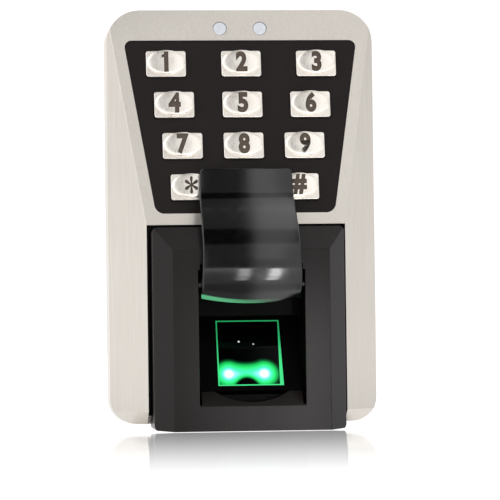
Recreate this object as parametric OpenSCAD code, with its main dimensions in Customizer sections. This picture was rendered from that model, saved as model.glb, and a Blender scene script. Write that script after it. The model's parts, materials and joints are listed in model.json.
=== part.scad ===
// Wall-mounted fingerprint scanner terminal with a twelve-key keypad.
// Millimetres. X is the width, +Z is up, and the front looks along -Y.
// The origin is the centre of the casing where its bracket meets the wall.
// "Depth" below is the distance out from the wall, so depth d lies at Y = -d.

/* [Casing] */
// Width of the metal casing
casing_w = 86; // [84:0.5:88]
// Half of the casing's height
casing_half_h = 66.3; // [65:0.1:67]
// Corner radius at the top
top_corner_r = 10.8; // [9:0.1:12]
// Corner radius at the bottom
bottom_corner_r = 8; // [7:0.1:9]
// Depth of the casing's side walls, where the front starts to rise
rim_depth = 14.5; // [14:0.1:16]
// Wall thickness of the metal casing
wall = 2; // [1.6:0.1:2.2]
// Angle of the sloping keypad face
slope_angle = 10.65; // [10:0.05:11.5]
// Angle of the two side flanks to the wall
flank_angle = 49.4; // [48:0.1:50]

/* [Keypad] */
// Height of the keypad panel along the slope
panel_h = 57; // [56:0.1:58]
// Width of the keypad panel at its top
panel_top_w = 75.3; // [74:0.1:76]
// Width of the keypad panel at its bottom
panel_bottom_w = 57.2; // [56:0.1:58]
// Distance between the key rows
row_pitch = 13.53; // [13.2:0.01:13.8]
// Distance from the middle column to an outer key in the top row
top_half_pitch = 24.2; // [23.5:0.1:24.5]
// How much closer the outer keys stand in each lower row
column_step = 2.31; // [2:0.01:2.5]
// Width of a key
key_w = 12.8; // [12:0.1:13]
// Height of a key
key_h = 8.5; // [8:0.1:8.8]
// How far a key travels
key_travel = 1; // [0.5:0.1:1]

/* [Scanner] */
// Width of the scanner block
block_w = 60.8; // [60:0.1:61.2]
// Depth of the scanner block's front face
block_depth = 42.5; // [42:0.1:43]
// Half of the finger well's width
well_half_w = 16.7; // [16.2:0.1:17]
// Width of the scanning window
window_w = 20; // [18:0.1:21]
// Length of the scanning window
window_len = 23; // [22:0.1:23.5]
// Angle of the scanning window
window_angle = 27.45; // [26:0.05:28]

/* [Flip cover] */
// Width of the cover at its free edge
cover_tip_w = 29.6; // [28:0.1:30.5]
// Width of the cover at its hinge
cover_heel_w = 31.6; // [31:0.1:32]
// Wall thickness of the cover
cover_wall = 1.7; // [1.4:0.1:1.8]
// Radius of the hinge pin
hinge_pin_r = 1; // [0.8:0.1:1.2]

/* [Wall bracket] */
// Thickness of the steel bracket
bracket_t = 1.5; // [1.2:0.1:1.6]
// Screw pitch of a standard flush wall box
box_pitch = 60; // [60:0.1:60.3]
// Distance between the corner screw holes across the width
corner_pitch_x = 62; // [60:1:64]
// Distance between the corner screw holes up the height
corner_pitch_z = 96; // [92:1:98]
// Radius of the wall screw holes
wall_hole_r = 2.2; // [2:0.1:2.3]

/* [Hidden] */

fit = 0.15;
screw_fit = 0.05;
far = 200;
half_w = casing_w / 2;
round_fn = 64;
corner_steps = 12;

// Casing
back_edge_depth = 0.6;
flank_rise = tan(flank_angle);
slope_drop = tan(slope_angle);
cutout_half_w = block_w / 2 + 1.3;
cutout_top_z = -3.2;
cutout_start_depth = 18;
bottom_chamfer_z = -62.4;
boss_r = 2.1;
housing_boss_xz = [[30, 60.2], [-30, 60.2], [36.8, -52], [-36.8, -52]];
housing_screw_r = 1.25;
lug_z = [-12.5, -57.5];
bezel_boss_x = 24.2;
lug_depth = 16;
lug_t = 2;

// The sloping frame: its origin is the middle of the keypad panel's face
slope_z = 28.4;
slope_depth = rim_depth + (casing_half_h - slope_z) * slope_drop;
panel_r = 2.7;
panel_recess = 0.4;
panel_back = 3.6;
flange_grow = 2;
key_rise = 2.5;
key_plate_rise = 1;
key_r = 0.8;
key_flange_back = 4.5;
key_stem_back = 4.9;
mat_dome_y = key_stem_back + key_travel + 0.05;
mat_y = 6.4;
keypad_board_y = 7.2;
keypad_board_t = 1.2;
keypad_screw_xz = [[12.1, 20.3], [-12.1, 20.3], [9.7, -6.8], [-9.7, -6.8]];
lens_x = 6.45;
lens_z = 32.4;
lens_r = 2.1;
lens_rim = 0.5;

// Rear shell
shell_inset = 2.3;
shell_wall = 1.6;
floor_depth = 4.2;
floor_t = 2;
shell_front_depth = 12.2;
cable_w = 26;
cable_h = 20;
cable_z = 24;
hook_x = 20;
hook_z = 51;
lock_tab_z = -60.6;
lock_depth = 7.4;

// Boards
board_depth = 8.4;
board_t = 1.6;
board_front = board_depth + board_t;
board_screw_xz = [[31, 3], [-31, 3], [31, -52], [-31, -52]];
buzzer_x = 24.5;
buzzer_z = -12.4;
tamper_x = 25;
tamper_z = -28;
tamper_r = 1.5;

// Scanner block
block_back = 18.2;
block_wall = 2;
block_top_z = -4.2;
block_side_depth = 34.5;
block_face_half_w = 24.7;
block_face_top_z = -11.55;
block_bottom_z = -68.4;
block_heel_z = -67.3;
block_corner_r = 3;
flange_half_w = 34.4;
flange_top_z = -2.75;
flange_low_z = -61.3;
flange_t = 2;
well_top_z = -18;
well_back = 26;
well_lip_z = -60.5;
well_floor = [38.4, -56];
tunnel_wall = 1.8;
tunnel_back = 22;
scoop_r = 20;
scoop_z = -41.4;

// The window frame: its origin is the middle of the window's face
window_z = -44.1;
window_depth = 31.9;
frame_half_w = 16.3;
frame_half_len = 13.2;
frame_back = 14;
guide_grow = 0.9;
sensor_board_y = 17;
scan_led_x = 5.7;
scan_led_z = -4.2;
lens_mount_z = 4;

// Flip cover, open at rest, drawn as [depth, z] along its outer face
hinge_depth = 41;
hinge_z = -22.5;
hinge_fit = 0.06;
barrel_r = 2.4;
cover_path = [
    [40.6, -26.6], [43.6, -23.6], [45.7, -19.6], [46.4, -15.4], [45.5, -10.8],
    [42.6, -5.6], [38, -0.6], [33.6, 3.4], [31, 7.2], [29.6, 13.7]
];

// ---- Helpers ----------------------------------------------------------

// A side outline given as [depth, z] points, extruded across the width
module side_prism(width, points) {
    rotate([90, 0, 90])
        linear_extrude(width, center = true)
            polygon([for (p = points) [-p[0], p[1]]]);
}

// A plan outline given as [x, depth] points, extruded upwards
module plan_prism(z_low, z_high, points) {
    translate([0, 0, z_low])
        linear_extrude(z_high - z_low)
            polygon([for (p = points) [p[0], -p[1]]]);
}

// A front outline in X and Z, extruded from one depth to another
module front_prism(depth_a, depth_b) {
    translate([0, -depth_a, 0])
        rotate([90, 0, 0])
            linear_extrude(depth_b - depth_a)
                children();
}

// A front outline extruded inwards along +Y, for the sloping frames
module inward_prism(y_a, y_b) {
    translate([0, y_b, 0])
        rotate([90, 0, 0])
            linear_extrude(y_b - y_a)
                children();
}

// A round bar along Y, from one depth to another
module depth_rod(x, z, r, depth_a, depth_b) {
    translate([x, -depth_a, z])
        rotate([90, 0, 0])
            cylinder(h = depth_b - depth_a, r = r, $fn = round_fn);
}

// A round bar along +Y in a sloping frame
module inward_rod(x, z, r, y_a, y_b) {
    translate([x, y_b, z])
        rotate([90, 0, 0])
            cylinder(h = y_b - y_a, r = r, $fn = round_fn);
}

// A box by its limits in x, depth and z
module depth_box(x_a, x_b, depth_a, depth_b, z_a, z_b) {
    translate([x_a, -depth_b, z_a])
        cube([x_b - x_a, depth_b - depth_a, z_b - z_a]);
}

// A box by its limits in x, y and z, for the sloping frames
module inward_box(x_a, x_b, y_a, y_b, z_a, z_b) {
    translate([x_a, y_a, z_a])
        cube([x_b - x_a, y_b - y_a, z_b - z_a]);
}

module rounded_rect(w, h, r) {
    square([w - 2 * r, h], center = true);
    square([w, h - 2 * r], center = true);
    for (sx = [-1, 1], sz = [-1, 1])
        translate([sx * (w / 2 - r), sz * (h / 2 - r)])
            circle(r = r, $fn = round_fn);
}

// The frame of the keypad face, and the frame of the scanning window
module on_slope() {
    translate([0, -slope_depth, slope_z])
        rotate([-slope_angle, 0, 0])
            children();
}

module on_window() {
    translate([0, -window_depth, window_z])
        rotate([-window_angle, 0, 0])
            children();
}

// ---- Casing -----------------------------------------------------------

// Points along a quarter turn or part of one, from angle a to angle b
function arc(centre, r, a, b) =
    [for (i = [0 : corner_steps]) let (t = a + (b - a) * i / corner_steps)
        centre + r * [cos(t), sin(t)]];

module casing_outline(inset) {
    w = half_w - inset;
    h = casing_half_h - inset;
    rt = top_corner_r - inset;
    rb = bottom_corner_r - inset;
    polygon(concat(
        arc([w - rt, h - rt], rt, 0, 90), arc([rt - w, h - rt], rt, 90, 180),
        arc([rb - w, rb - h], rb, 180, 270), arc([w - rb, rb - h], rb, 270, 360)
    ));
}

// The casing's solid shape, or its inside when inset by the wall
module casing_body(inset, back) {
    rim = rim_depth - inset * tan(flank_angle / 2);
    side = half_w - inset;
    top = rim_depth - inset / cos(slope_angle);
    difference() {
        intersection() {
            front_prism(back, far) casing_outline(inset);
            plan_prism(-far, far, [
                [-side, back], [side, back], [side, rim],
                [0, rim + side * flank_rise], [-side, rim]
            ]);
            side_prism(far, [
                [back, -far], [back, far], [top - (far - casing_half_h) * slope_drop, far],
                [top + (far + casing_half_h) * slope_drop, -far]
            ]);
        }
        for (m = [0, 1])
            mirror([m, 0, 0]) bottom_chamfer(inset);
    }
}

// The foot of each flank leans back to the casing's bottom edge
module bottom_chamfer(inset) {
    start_z = bottom_chamfer_z + inset * tan(22.5);
    translate([half_w, -rim_depth, 0])
        rotate([0, 0, flank_angle])
            rotate([90, 0, 90])
                linear_extrude(far, center = true)
                    polygon([
                        [inset + 40, start_z - 40], [-40, start_z - 40],
                        [-40, start_z + 40 + inset]
                    ]);
}

// The keypad window, whose sides lean in towards the bottom
module panel_outline(grow) {
    lean = atan((panel_top_w - panel_bottom_w) / 2 / panel_h);
    half_top = panel_top_w / 2 + grow * (1 / cos(lean) + tan(lean));
    half_bottom = panel_bottom_w / 2 + grow * (1 / cos(lean) - tan(lean));
    hh = panel_h / 2 + grow;
    r = panel_r + grow;
    top_c = half_top - r * tan(45 + lean / 2);
    bottom_c = half_bottom - r * tan(45 - lean / 2);
    polygon(concat(
        arc([top_c, hh - r], r, -lean, 90), arc([-top_c, hh - r], r, 90, 180 + lean),
        arc([-bottom_c, r - hh], r, 180 + lean, 270), arc([bottom_c, r - hh], r, 270, 360 - lean)
    ));
}

module front_housing() {
    color("#d6d1ca") difference() {
        union() {
            difference() {
                casing_body(0, back_edge_depth);
                casing_body(wall, back_edge_depth - 1);
                depth_box(-cutout_half_w, cutout_half_w, cutout_start_depth, far,
                          -far, cutout_top_z);
            }
            intersection() {
                casing_body(wall / 2, back_edge_depth);
                housing_bosses();
            }
        }
        on_slope() {
            inward_prism(-5, wall + 0.05) panel_outline(0);
            for (s = [-1, 1])
                inward_rod(s * lens_x, lens_z, lens_r + fit, -5, 5);
        }
        for (p = housing_boss_xz)
            depth_rod(p[0], p[1], housing_screw_r + screw_fit, 5, 11.8);
        for (s = [-1, 1], z = lug_z)
            depth_rod(s * bezel_boss_x, z, 1.3 + screw_fit, 10, 20);
        depth_rod_up(0, lock_depth, 1.6 + screw_fit, -far, 0);
        translate([0, -lock_depth, -casing_half_h - 0.01])
            cylinder(h = 1.51, r1 = 3.1, r2 = 1.5, $fn = round_fn);
    }
}

// A round bar along Z at a given depth
module depth_rod_up(x, depth, r, z_a, z_b) {
    translate([x, -depth, z_a])
        cylinder(h = z_b - z_a, r = r, $fn = round_fn);
}

// Four screw posts for the rear shell, and four lugs that carry the scanner block
module housing_bosses() {
    for (p = housing_boss_xz)
        depth_rod(p[0], p[1], boss_r, floor_depth + floor_t + 0.3, far);
    for (m = [0, 1], z = lug_z)
        mirror([m, 0, 0])
            depth_box(20.5, 41, lug_depth, lug_depth + lug_t, z - 4, z + 4);
}

module housing_gasket() {
    color("#2b2b2b") front_prism(shell_front_depth, shell_front_depth + 0.6)
        difference() {
            casing_outline(shell_inset + 0.1);
            casing_outline(shell_inset + shell_wall - 0.1);
        }
}

module rear_shell() {
    color("#3a3a3c") difference() {
        union() {
            difference() {
                front_prism(bracket_t + 0.3, shell_front_depth) casing_outline(shell_inset);
                front_prism(floor_depth + floor_t, far)
                    casing_outline(shell_inset + shell_wall);
                front_prism(-1, floor_depth) casing_outline(shell_inset + shell_wall);
            }
            for (p = board_screw_xz)
                depth_rod(p[0], p[1], 2.6, floor_depth, board_depth);
            for (p = housing_boss_xz)
                depth_rod(p[0], p[1], boss_r + 0.8, 2.4, floor_depth + floor_t);
        }
        depth_box(-cable_w / 2, cable_w / 2, -1, 20,
                  cable_z - cable_h / 2, cable_z + cable_h / 2);
        for (s = [-1, 1])
            depth_box(s * hook_x - 4.5, s * hook_x + 4.5, 0, 10, hook_z - 1, hook_z + 5);
        depth_box(-8, 8, 0, 11, lock_tab_z - 1.9, lock_tab_z + 1);
        depth_rod_up(0, lock_depth, 1.6 + screw_fit, -far, lock_tab_z + 2.6);
        for (p = board_screw_xz)
            depth_rod(p[0], p[1], 1.1 + screw_fit, floor_depth + 0.8, 20);
        for (p = housing_boss_xz) {
            depth_rod(p[0], p[1], housing_screw_r + screw_fit, 0, 20);
            depth_rod(p[0], p[1], 2.4, 0, floor_depth);
        }
        depth_rod(tamper_x, tamper_z, tamper_r + 0.3, 0, 20);
    }
}

// Pressed steel plate with two hooks at the top and a locking tab at the bottom
module wall_bracket() {
    color("#b9bcbf") {
        difference() {
            front_prism(0, bracket_t) casing_outline(shell_inset + shell_wall + 0.8);
            depth_box(-cable_w / 2 - 2, cable_w / 2 + 2, -1, 5,
                      cable_z - cable_h / 2 - 2, cable_z + cable_h / 2 + 2);
            for (s = [-1, 1]) {
                depth_rod(s * box_pitch / 2, 0, wall_hole_r, -1, 5);
                for (t = [-1, 1])
                    depth_rod(s * corner_pitch_x / 2, t * corner_pitch_z / 2,
                              wall_hole_r, -1, 5);
            }
        }
        for (s = [-1, 1]) {
            depth_box(s * hook_x - 4, s * hook_x + 4, bracket_t - 0.2, 7.8,
                      hook_z - 0.5, hook_z + 0.8);
            depth_box(s * hook_x - 4, s * hook_x + 4, 6.5, 7.8, hook_z - 0.5, hook_z + 4.4);
        }
        difference() {
            depth_box(-7, 7, bracket_t - 0.2, 10.6, lock_tab_z - 1.5, lock_tab_z);
            depth_rod_up(0, lock_depth, 1.5 + screw_fit, -far, far);
        }
    }
}

// ---- Keypad -----------------------------------------------------------

function key_x(row, column) = (column - 1) * (top_half_pitch - row * column_step);
function key_z(row) = 20.5 - row * row_pitch;

module keypad_panel() {
    color("#2a2424") on_slope() difference() {
        union() {
            inward_prism(panel_recess, 2.4) panel_outline(-fit);
            inward_prism(wall + 0.1, panel_back) panel_outline(flange_grow);
            for (p = keypad_screw_xz)
                inward_rod(p[0], p[1], 2, panel_back - 0.1, mat_y - 0.1);
        }
        for (row = [0 : 3], column = [0 : 2])
            translate([key_x(row, column), 0, key_z(row)])
                inward_prism(-1, 10) rounded_rect(key_w + 2 * fit, key_h + 2 * fit, key_r);
        for (p = keypad_screw_xz)
            inward_rod(p[0], p[1], 0.8 + screw_fit, 3, 20);
        for (s = [-1, 1])
            inward_rod(s * lens_x, lens_z, lens_r + lens_rim + 0.3, wall, 10);
    }
}

// A cast key: a flat plate, a raised boss for the digit, and a flange that keeps it in
module key_body(row, column) {
    boss_h = key_h - 0.7;
    color("#e5e0da") on_slope() translate([key_x(row, column), 0, key_z(row)]) {
        inward_prism(-key_plate_rise, panel_back + 0.4) rounded_rect(key_w, key_h, key_r);
        inward_prism(-key_rise, 0) {
            square([key_w - 0.8 - boss_h, boss_h], center = true);
            for (s = [-1, 1])
                translate([s * (key_w - 0.8 - boss_h) / 2, 0])
                    circle(d = boss_h, $fn = round_fn);
        }
        inward_prism(panel_back + 0.1, key_flange_back)
            rounded_rect(key_w + 1.8, key_h + 1.7, key_r);
        inward_prism(key_flange_back - 0.1, key_stem_back) circle(r = 2.4, $fn = round_fn);
    }
}

module key_1() { key_body(0, 0); }
module key_2() { key_body(0, 1); }
module key_3() { key_body(0, 2); }
module key_4() { key_body(1, 0); }
module key_5() { key_body(1, 1); }
module key_6() { key_body(1, 2); }
module key_7() { key_body(2, 0); }
module key_8() { key_body(2, 1); }
module key_9() { key_body(2, 2); }
module key_star() { key_body(3, 0); }
module key_0() { key_body(3, 1); }
module key_hash() { key_body(3, 2); }

module keypad_mat() {
    color("#d8d8d4") on_slope() difference() {
        union() {
            inward_prism(mat_y, keypad_board_y) panel_outline(-1);
            for (row = [0 : 3], column = [0 : 2])
                inward_rod(key_x(row, column), key_z(row), 3, mat_dome_y, mat_y + 0.1);
        }
        for (p = keypad_screw_xz)
            inward_rod(p[0], p[1], 1.2, 0, 20);
    }
}

module keypad_board() {
    color("#1f6b3a") on_slope() difference() {
        union() {
            inward_prism(keypad_board_y, keypad_board_y + keypad_board_t) panel_outline(-0.5);
            inward_box(-11, 11, keypad_board_y, keypad_board_y + keypad_board_t, 20, 34.2);
        }
        for (p = keypad_screw_xz)
            inward_rod(p[0], p[1], 0.8 + screw_fit, 0, 20);
    }
}

module keypad_screws() {
    color("#c8c8c8") on_slope() for (p = keypad_screw_xz) {
        inward_rod(p[0], p[1], 0.8, 3.2, keypad_board_y + keypad_board_t + 0.2);
        inward_rod(p[0], p[1], 1.6, keypad_board_y + keypad_board_t,
                   keypad_board_y + keypad_board_t + 1);
    }
}

// Flat flexible cable from the keypad board down to the main board
module keypad_ribbon() {
    color("#e9e4d8") side_prism(12, [
        [18.7, -0.75], [18.7, -1.5], [board_front, -8], [board_front, -8.5],
        [19.2, -1.7], [19.2, -0.75]
    ]);
}

module status_lens(x) {
    color("#eef4ff") on_slope() {
        inward_rod(x, lens_z, lens_r, -0.25, wall + 0.1);
        inward_rod(x, lens_z, lens_r + lens_rim, wall + 0.05, 2.95);
    }
}

module status_lens_left() { status_lens(-lens_x); }
module status_lens_right() { status_lens(lens_x); }

module status_leds() {
    color("#f7f7ee") on_slope() for (s = [-1, 1])
        inward_box(s * lens_x - 1.75, s * lens_x + 1.75, keypad_board_y - 1.4,
                   keypad_board_y, lens_z - 1.4, lens_z + 1.4);
}

// ---- Main board -------------------------------------------------------

module main_board() {
    color("#1f6b3a") difference() {
        depth_box(-34.5, 34.5, board_depth, board_front, -56, 7);
        for (p = board_screw_xz)
            depth_rod(p[0], p[1], 1.1 + screw_fit, 0, 20);
        for (s = [-1, 1])
            depth_rod(s * housing_boss_xz[2][0], housing_boss_xz[2][1], boss_r + 0.5, 0, 20);
    }
}

module processor() {
    color("#1c1c1e")
        depth_box(-7, 7, board_front, board_front + 1.4, -25, -11);
}

module relay() {
    color("#2c62b8")
        depth_box(-33, -20, board_front, 17.6, -42, -23);
}

module buzzer() {
    color("#1a1a1a") difference() {
        depth_rod(buzzer_x, buzzer_z, 6, board_front, 14.1);
        depth_rod(buzzer_x, buzzer_z, 1, 13.1, 20);
    }
}

module clock_battery() {
    color("#cfd2d4") {
        depth_rod(25.5, -42, 6.25, board_front + 0.8, 13.6);
        depth_box(21, 30, board_front, board_front + 1, -49.5, -34.5);
    }
}

// Two rows of wire terminals, with a hole for each wire
module wiring_headers() {
    header_pitch = 4;
    color("#2f8f4f") difference() {
        for (s = [-1, 1])
            depth_box(s * 14 - 12, s * 14 + 12, board_front, 15.8, -3.4, 5.4);
        for (s = [-1, 1], i = [0 : 4])
            depth_rod_up(s * 14 + (i - 2) * header_pitch, 12.8, 1.2, 1.4, 10);
    }
}

module board_screws() {
    color("#c8c8c8") for (p = board_screw_xz) {
        depth_rod(p[0], p[1], 1.1, floor_depth + 1, board_front + 0.1);
        depth_rod(p[0], p[1], 2, board_front, board_front + 1.5);
    }
}

module housing_screws() {
    color("#9a9da0") for (p = housing_boss_xz) {
        depth_rod(p[0], p[1], housing_screw_r, floor_depth - 0.1, 11.4);
        depth_rod(p[0], p[1], 2.2, floor_depth - 1.5, floor_depth);
    }
}

module lock_screw() {
    color("#8f9296") {
        translate([0, -lock_depth, -casing_half_h + 0.1])
            cylinder(h = 1.3, r1 = 2.8, r2 = 1.5, $fn = round_fn);
        depth_rod_up(0, lock_depth, 1.5, -casing_half_h + 1.3, -58.6);
    }
}

module tamper_switch() {
    color("#26262a") difference() {
        depth_box(tamper_x - 3, tamper_x + 3, 6.4, board_depth, tamper_z - 3, tamper_z + 3);
        depth_rod(tamper_x, tamper_z, tamper_r + 0.06, 0, board_depth - 0.1);
    }
}

module tamper_plunger() {
    color("#e8e2d0") depth_rod(tamper_x, tamper_z, tamper_r, bracket_t + 0.05, 7);
}

// ---- Scanner block ----------------------------------------------------

// The block's outer shape, or its hollow when inset by the wall
module block_body(inset, back) {
    side_turn = atan((block_w / 2 - block_face_half_w) / (block_depth - block_side_depth));
    top_turn = atan((block_top_z - block_face_top_z) / (block_depth - block_side_depth));
    side = block_w / 2 - inset;
    face = block_face_half_w - inset * tan((90 - side_turn) / 2);
    front = block_depth - inset;
    intersection() {
        plan_prism(-far, far, [
            [-side, back], [side, back],
            [side, block_side_depth - inset * tan(side_turn / 2)], [face, front],
            [-face, front], [-side, block_side_depth - inset * tan(side_turn / 2)]
        ]);
        side_prism(far, [
            [back, block_top_z - inset],
            [block_side_depth - inset * tan(top_turn / 2), block_top_z - inset],
            [front, block_face_top_z - inset * tan((90 - top_turn) / 2)],
            [front, block_bottom_z + inset], [back, block_heel_z + inset]
        ]);
        front_prism(back, far)
            translate([0, (block_top_z + block_bottom_z) / 2])
                rounded_rect(block_w - 2 * inset, block_top_z - block_bottom_z - 2 * inset,
                             max(block_corner_r - inset, 0.5));
    }
}

// The finger well: straight sides, a ramp at the bottom, and the tilted window behind
module well_void() {
    side_prism(2 * well_half_w, [
        [well_back, well_top_z], [50, well_top_z], [50, well_lip_z - 8.2],
        [block_depth, well_lip_z], well_floor, [well_back, -32.4]
    ]);
    intersection() {
        depth_rod(0, scoop_z, scoop_r, 36, 50);
        depth_box(-14, 14, 36, 50, -62, -50);
        side_prism(40, [[37.6, -50], [50, -50], [50, -64], [45, -64], [38.6, -56.2]]);
    }
}

// Thin flange that closes the gap round the block from behind the metal
module bezel_flange() {
    difference() {
        depth_box(-flange_half_w, flange_half_w, block_back, block_back + flange_t,
                  flange_low_z, flange_top_z);
        depth_box(block_wall - block_w / 2, block_w / 2 - block_wall, 0, 60,
                  -far, block_top_z - block_wall);
    }
}

module scanner_bezel() {
    color("#353232") difference() {
        union() {
            difference() {
                block_body(0, block_back);
                block_body(block_wall, block_back - 1);
            }
            intersection() {
                block_body(0.5, tunnel_back);
                depth_box(-well_half_w - tunnel_wall, well_half_w + tunnel_wall,
                          tunnel_back, 60, well_lip_z - tunnel_wall, well_top_z + tunnel_wall);
            }
            bezel_flange();
            intersection() {
                block_body(0.5, block_back);
                for (s = [-1, 1], z = lug_z)
                    depth_rod(s * bezel_boss_x, z, 3, block_back, 60);
            }
        }
        well_void();
        on_window()
            inward_box(-frame_half_w - 0.2, frame_half_w + 0.2, -0.6, 40,
                       -frame_half_len - 0.2, frame_half_len + 0.2);
        for (s = [-1, 1], z = lug_z)
            depth_rod(s * bezel_boss_x, z, 1.3 + screw_fit, 10, 30);
        translate([0, -hinge_depth, hinge_z])
            rotate([0, 90, 0])
                cylinder(h = 2 * (well_half_w + tunnel_wall) + 6, r = hinge_pin_r + screw_fit,
                         center = true, $fn = round_fn);
    }
}

module bezel_screws() {
    color("#c8c8c8") for (s = [-1, 1], z = lug_z) {
        depth_rod(s * bezel_boss_x, z, 1.3, lug_depth - 0.1, 28);
        depth_rod(s * bezel_boss_x, z, 2.4, lug_depth - 1.6, lug_depth);
    }
}

// Holder that closes the back of the well and carries the prism
module sensor_frame() {
    inner_w = window_w / 2 + guide_grow + 0.1;
    inner_h = window_len / 2 + guide_grow + 0.1;
    color("#1d1b1c") on_window() difference() {
        inward_box(-frame_half_w, frame_half_w, 0, frame_back, -frame_half_len, frame_half_len);
        inward_box(-inner_w, inner_w, -1, 1.4, -inner_h, inner_h);
        inward_box(-window_w / 2 - 0.1, window_w / 2 + 0.1, 1.3, 8.6,
                   -window_len / 2 - 0.1, window_len / 2 + 0.1);
        inward_box(-13, 13, 8.5, 40, -10.5, 10.5);
    }
}

module scan_prism() {
    color("#9fd8b4") on_window()
        rotate([90, 0, 90])
            linear_extrude(window_w, center = true)
                polygon([
                    [0, -window_len / 2], [0, window_len / 2], [1.5, window_len / 2],
                    [8, 2], [8, -1], [1.5, -window_len / 2]
                ]);
}

// Clear frame round the prism that carries the green light to its edge
module light_guide() {
    color("#46e68a") on_window() inward_prism(0.05, 1.25) difference() {
        square([window_w + 2 * guide_grow, window_len + 2 * guide_grow], center = true);
        square([window_w + 0.1, window_len + 0.1], center = true);
    }
}

module scan_light(x) {
    color("#d8ffe6") on_window() {
        inward_rod(x, scan_led_z, 1.5, 9.2, 12.6);
        translate([x, 9.2, scan_led_z])
            sphere(r = 1.5, $fn = round_fn);
        inward_rod(x, scan_led_z, 1.9, 12.6, 13.4);
        for (s = [-1, 1])
            inward_rod(x + s * 0.9, scan_led_z, 0.3, 13.3, sensor_board_y);
    }
}

module scan_light_left() { scan_light(-scan_led_x); }
module scan_light_right() { scan_light(scan_led_x); }

module camera_lens() {
    color("#20242c") on_window() {
        inward_rod(0, lens_mount_z, 2.6, 10, 13);
        inward_rod(0, lens_mount_z, 1.7, 9.6, 10.1);
    }
}

module camera_module() {
    color("#141416") on_window()
        inward_box(-4.5, 4.5, 13, sensor_board_y, lens_mount_z - 4.2, lens_mount_z + 4.2);
}

module sensor_board() {
    color("#1f6b3a") on_window()
        inward_box(-12.5, 12.5, sensor_board_y, sensor_board_y + 1.2, -11, 8.5);
}

// Wires from the scanner's board to the main board
module sensor_cable() {
    color("#e9e4d8") side_prism(8, [
        [16.15, -53.4], [board_front, -53.4], [board_front, -54.2], [16.5, -54.2]
    ]);
}

// ---- Flip cover -------------------------------------------------------

function unit(v) = v / norm(v);
function path_tangent(path, i) =
    unit(path[min(i + 1, len(path) - 1)] - path[max(i - 1, 0)]);
// The outline of a strip of constant thickness behind a path
function strip_outline(path, thickness) = concat(
    path,
    [for (i = [len(path) - 1 : -1 : 0])
        let (t = path_tangent(path, i))
            path[i] + thickness * [-t[1], t[0]] * (t[1] > 0 ? 1 : -1)]
);

module flip_cover() {
    color("#121012") difference() {
        union() {
            intersection() {
                side_prism(cover_heel_w, strip_outline(cover_path, cover_wall));
                front_prism(0, far) polygon([
                    [-cover_heel_w / 2, -30], [cover_heel_w / 2, -30],
                    [cover_heel_w / 2, -22], [cover_tip_w / 2, 14], [-cover_tip_w / 2, 14],
                    [-cover_heel_w / 2, -22]
                ]);
            }
            translate([0, -hinge_depth, hinge_z])
                rotate([0, 90, 0])
                    cylinder(h = cover_heel_w, r = barrel_r, center = true, $fn = round_fn);
        }
        translate([0, -hinge_depth, hinge_z])
            rotate([0, 90, 0])
                cylinder(h = far, r = hinge_pin_r + hinge_fit, center = true, $fn = round_fn);
    }
}

module hinge_pin() {
    color("#c9c9c9") translate([0, -hinge_depth, hinge_z])
        rotate([0, 90, 0])
            cylinder(h = 2 * (well_half_w + tunnel_wall) + 4, r = hinge_pin_r,
                     center = true, $fn = round_fn);
}

wall_bracket();
rear_shell();
front_housing();
housing_gasket();
keypad_panel();
key_1();
key_2();
key_3();
key_4();
key_5();
key_6();
key_7();
key_8();
key_9();
key_star();
key_0();
key_hash();
keypad_mat();
keypad_board();
keypad_ribbon();
main_board();
processor();
relay();
buzzer();
clock_battery();
wiring_headers();
status_lens_left();
status_lens_right();
status_leds();
scanner_bezel();
sensor_frame();
scan_prism();
light_guide();
scan_light_left();
scan_light_right();
camera_lens();
camera_module();
sensor_board();
sensor_cable();
flip_cover();
hinge_pin();
tamper_switch();
tamper_plunger();
housing_screws();
bezel_screws();
board_screws();
keypad_screws();
lock_screw();
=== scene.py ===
"""Looks of a wall-mounted fingerprint scanner terminal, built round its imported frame.

Everything is in metres and in the frame's own axes: X runs across the front, +Z is up,
and the front looks along -Y. A "depth" is a distance out from the wall, so it lies at -Y.
"""

import json
import logging
import math
from dataclasses import dataclass, field
from enum import Enum
from typing import Callable

import bpy
from mathutils import Matrix, Vector


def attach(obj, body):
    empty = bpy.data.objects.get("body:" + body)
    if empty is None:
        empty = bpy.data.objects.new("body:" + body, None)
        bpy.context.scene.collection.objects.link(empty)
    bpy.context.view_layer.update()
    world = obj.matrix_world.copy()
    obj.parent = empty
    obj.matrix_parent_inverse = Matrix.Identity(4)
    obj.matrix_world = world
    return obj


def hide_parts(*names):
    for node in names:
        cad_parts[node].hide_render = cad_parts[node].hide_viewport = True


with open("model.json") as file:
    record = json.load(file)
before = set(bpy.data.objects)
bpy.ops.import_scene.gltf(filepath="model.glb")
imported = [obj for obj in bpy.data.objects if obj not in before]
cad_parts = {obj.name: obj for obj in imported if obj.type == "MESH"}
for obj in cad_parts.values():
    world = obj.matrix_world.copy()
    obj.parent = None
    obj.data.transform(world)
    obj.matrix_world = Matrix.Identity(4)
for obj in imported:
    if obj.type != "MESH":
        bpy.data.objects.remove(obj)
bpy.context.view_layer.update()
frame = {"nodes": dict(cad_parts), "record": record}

MM = 0.001
Triple = tuple[float, float, float]
EdgeTest = Callable[[Vector, Vector, list[Vector]], bool]
PlaceTest = Callable[[Vector], bool]
log = logging.getLogger("terminal")


# ---- Places the pieces share, in millimetres and radians ------------------------------

SLOPE_ANGLE = math.radians(10.65)
SLOPE_RISE = math.tan(SLOPE_ANGLE)
FLANK_ANGLE = math.radians(49.4)
WINDOW_ANGLE = math.radians(27.45)
RIM_DEPTH = 14.5
HALF_HEIGHT = 66.3
SLOPE_Z = 28.4
WINDOW_DEPTH = 31.9
WINDOW_Z = -44.1
HINGE: Triple = (0.0, -41.0, -22.5)
ALONG_X: Triple = (0.0, 90.0, 0.0)
ALONG_Y: Triple = (90.0, 0.0, 0.0)


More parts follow.
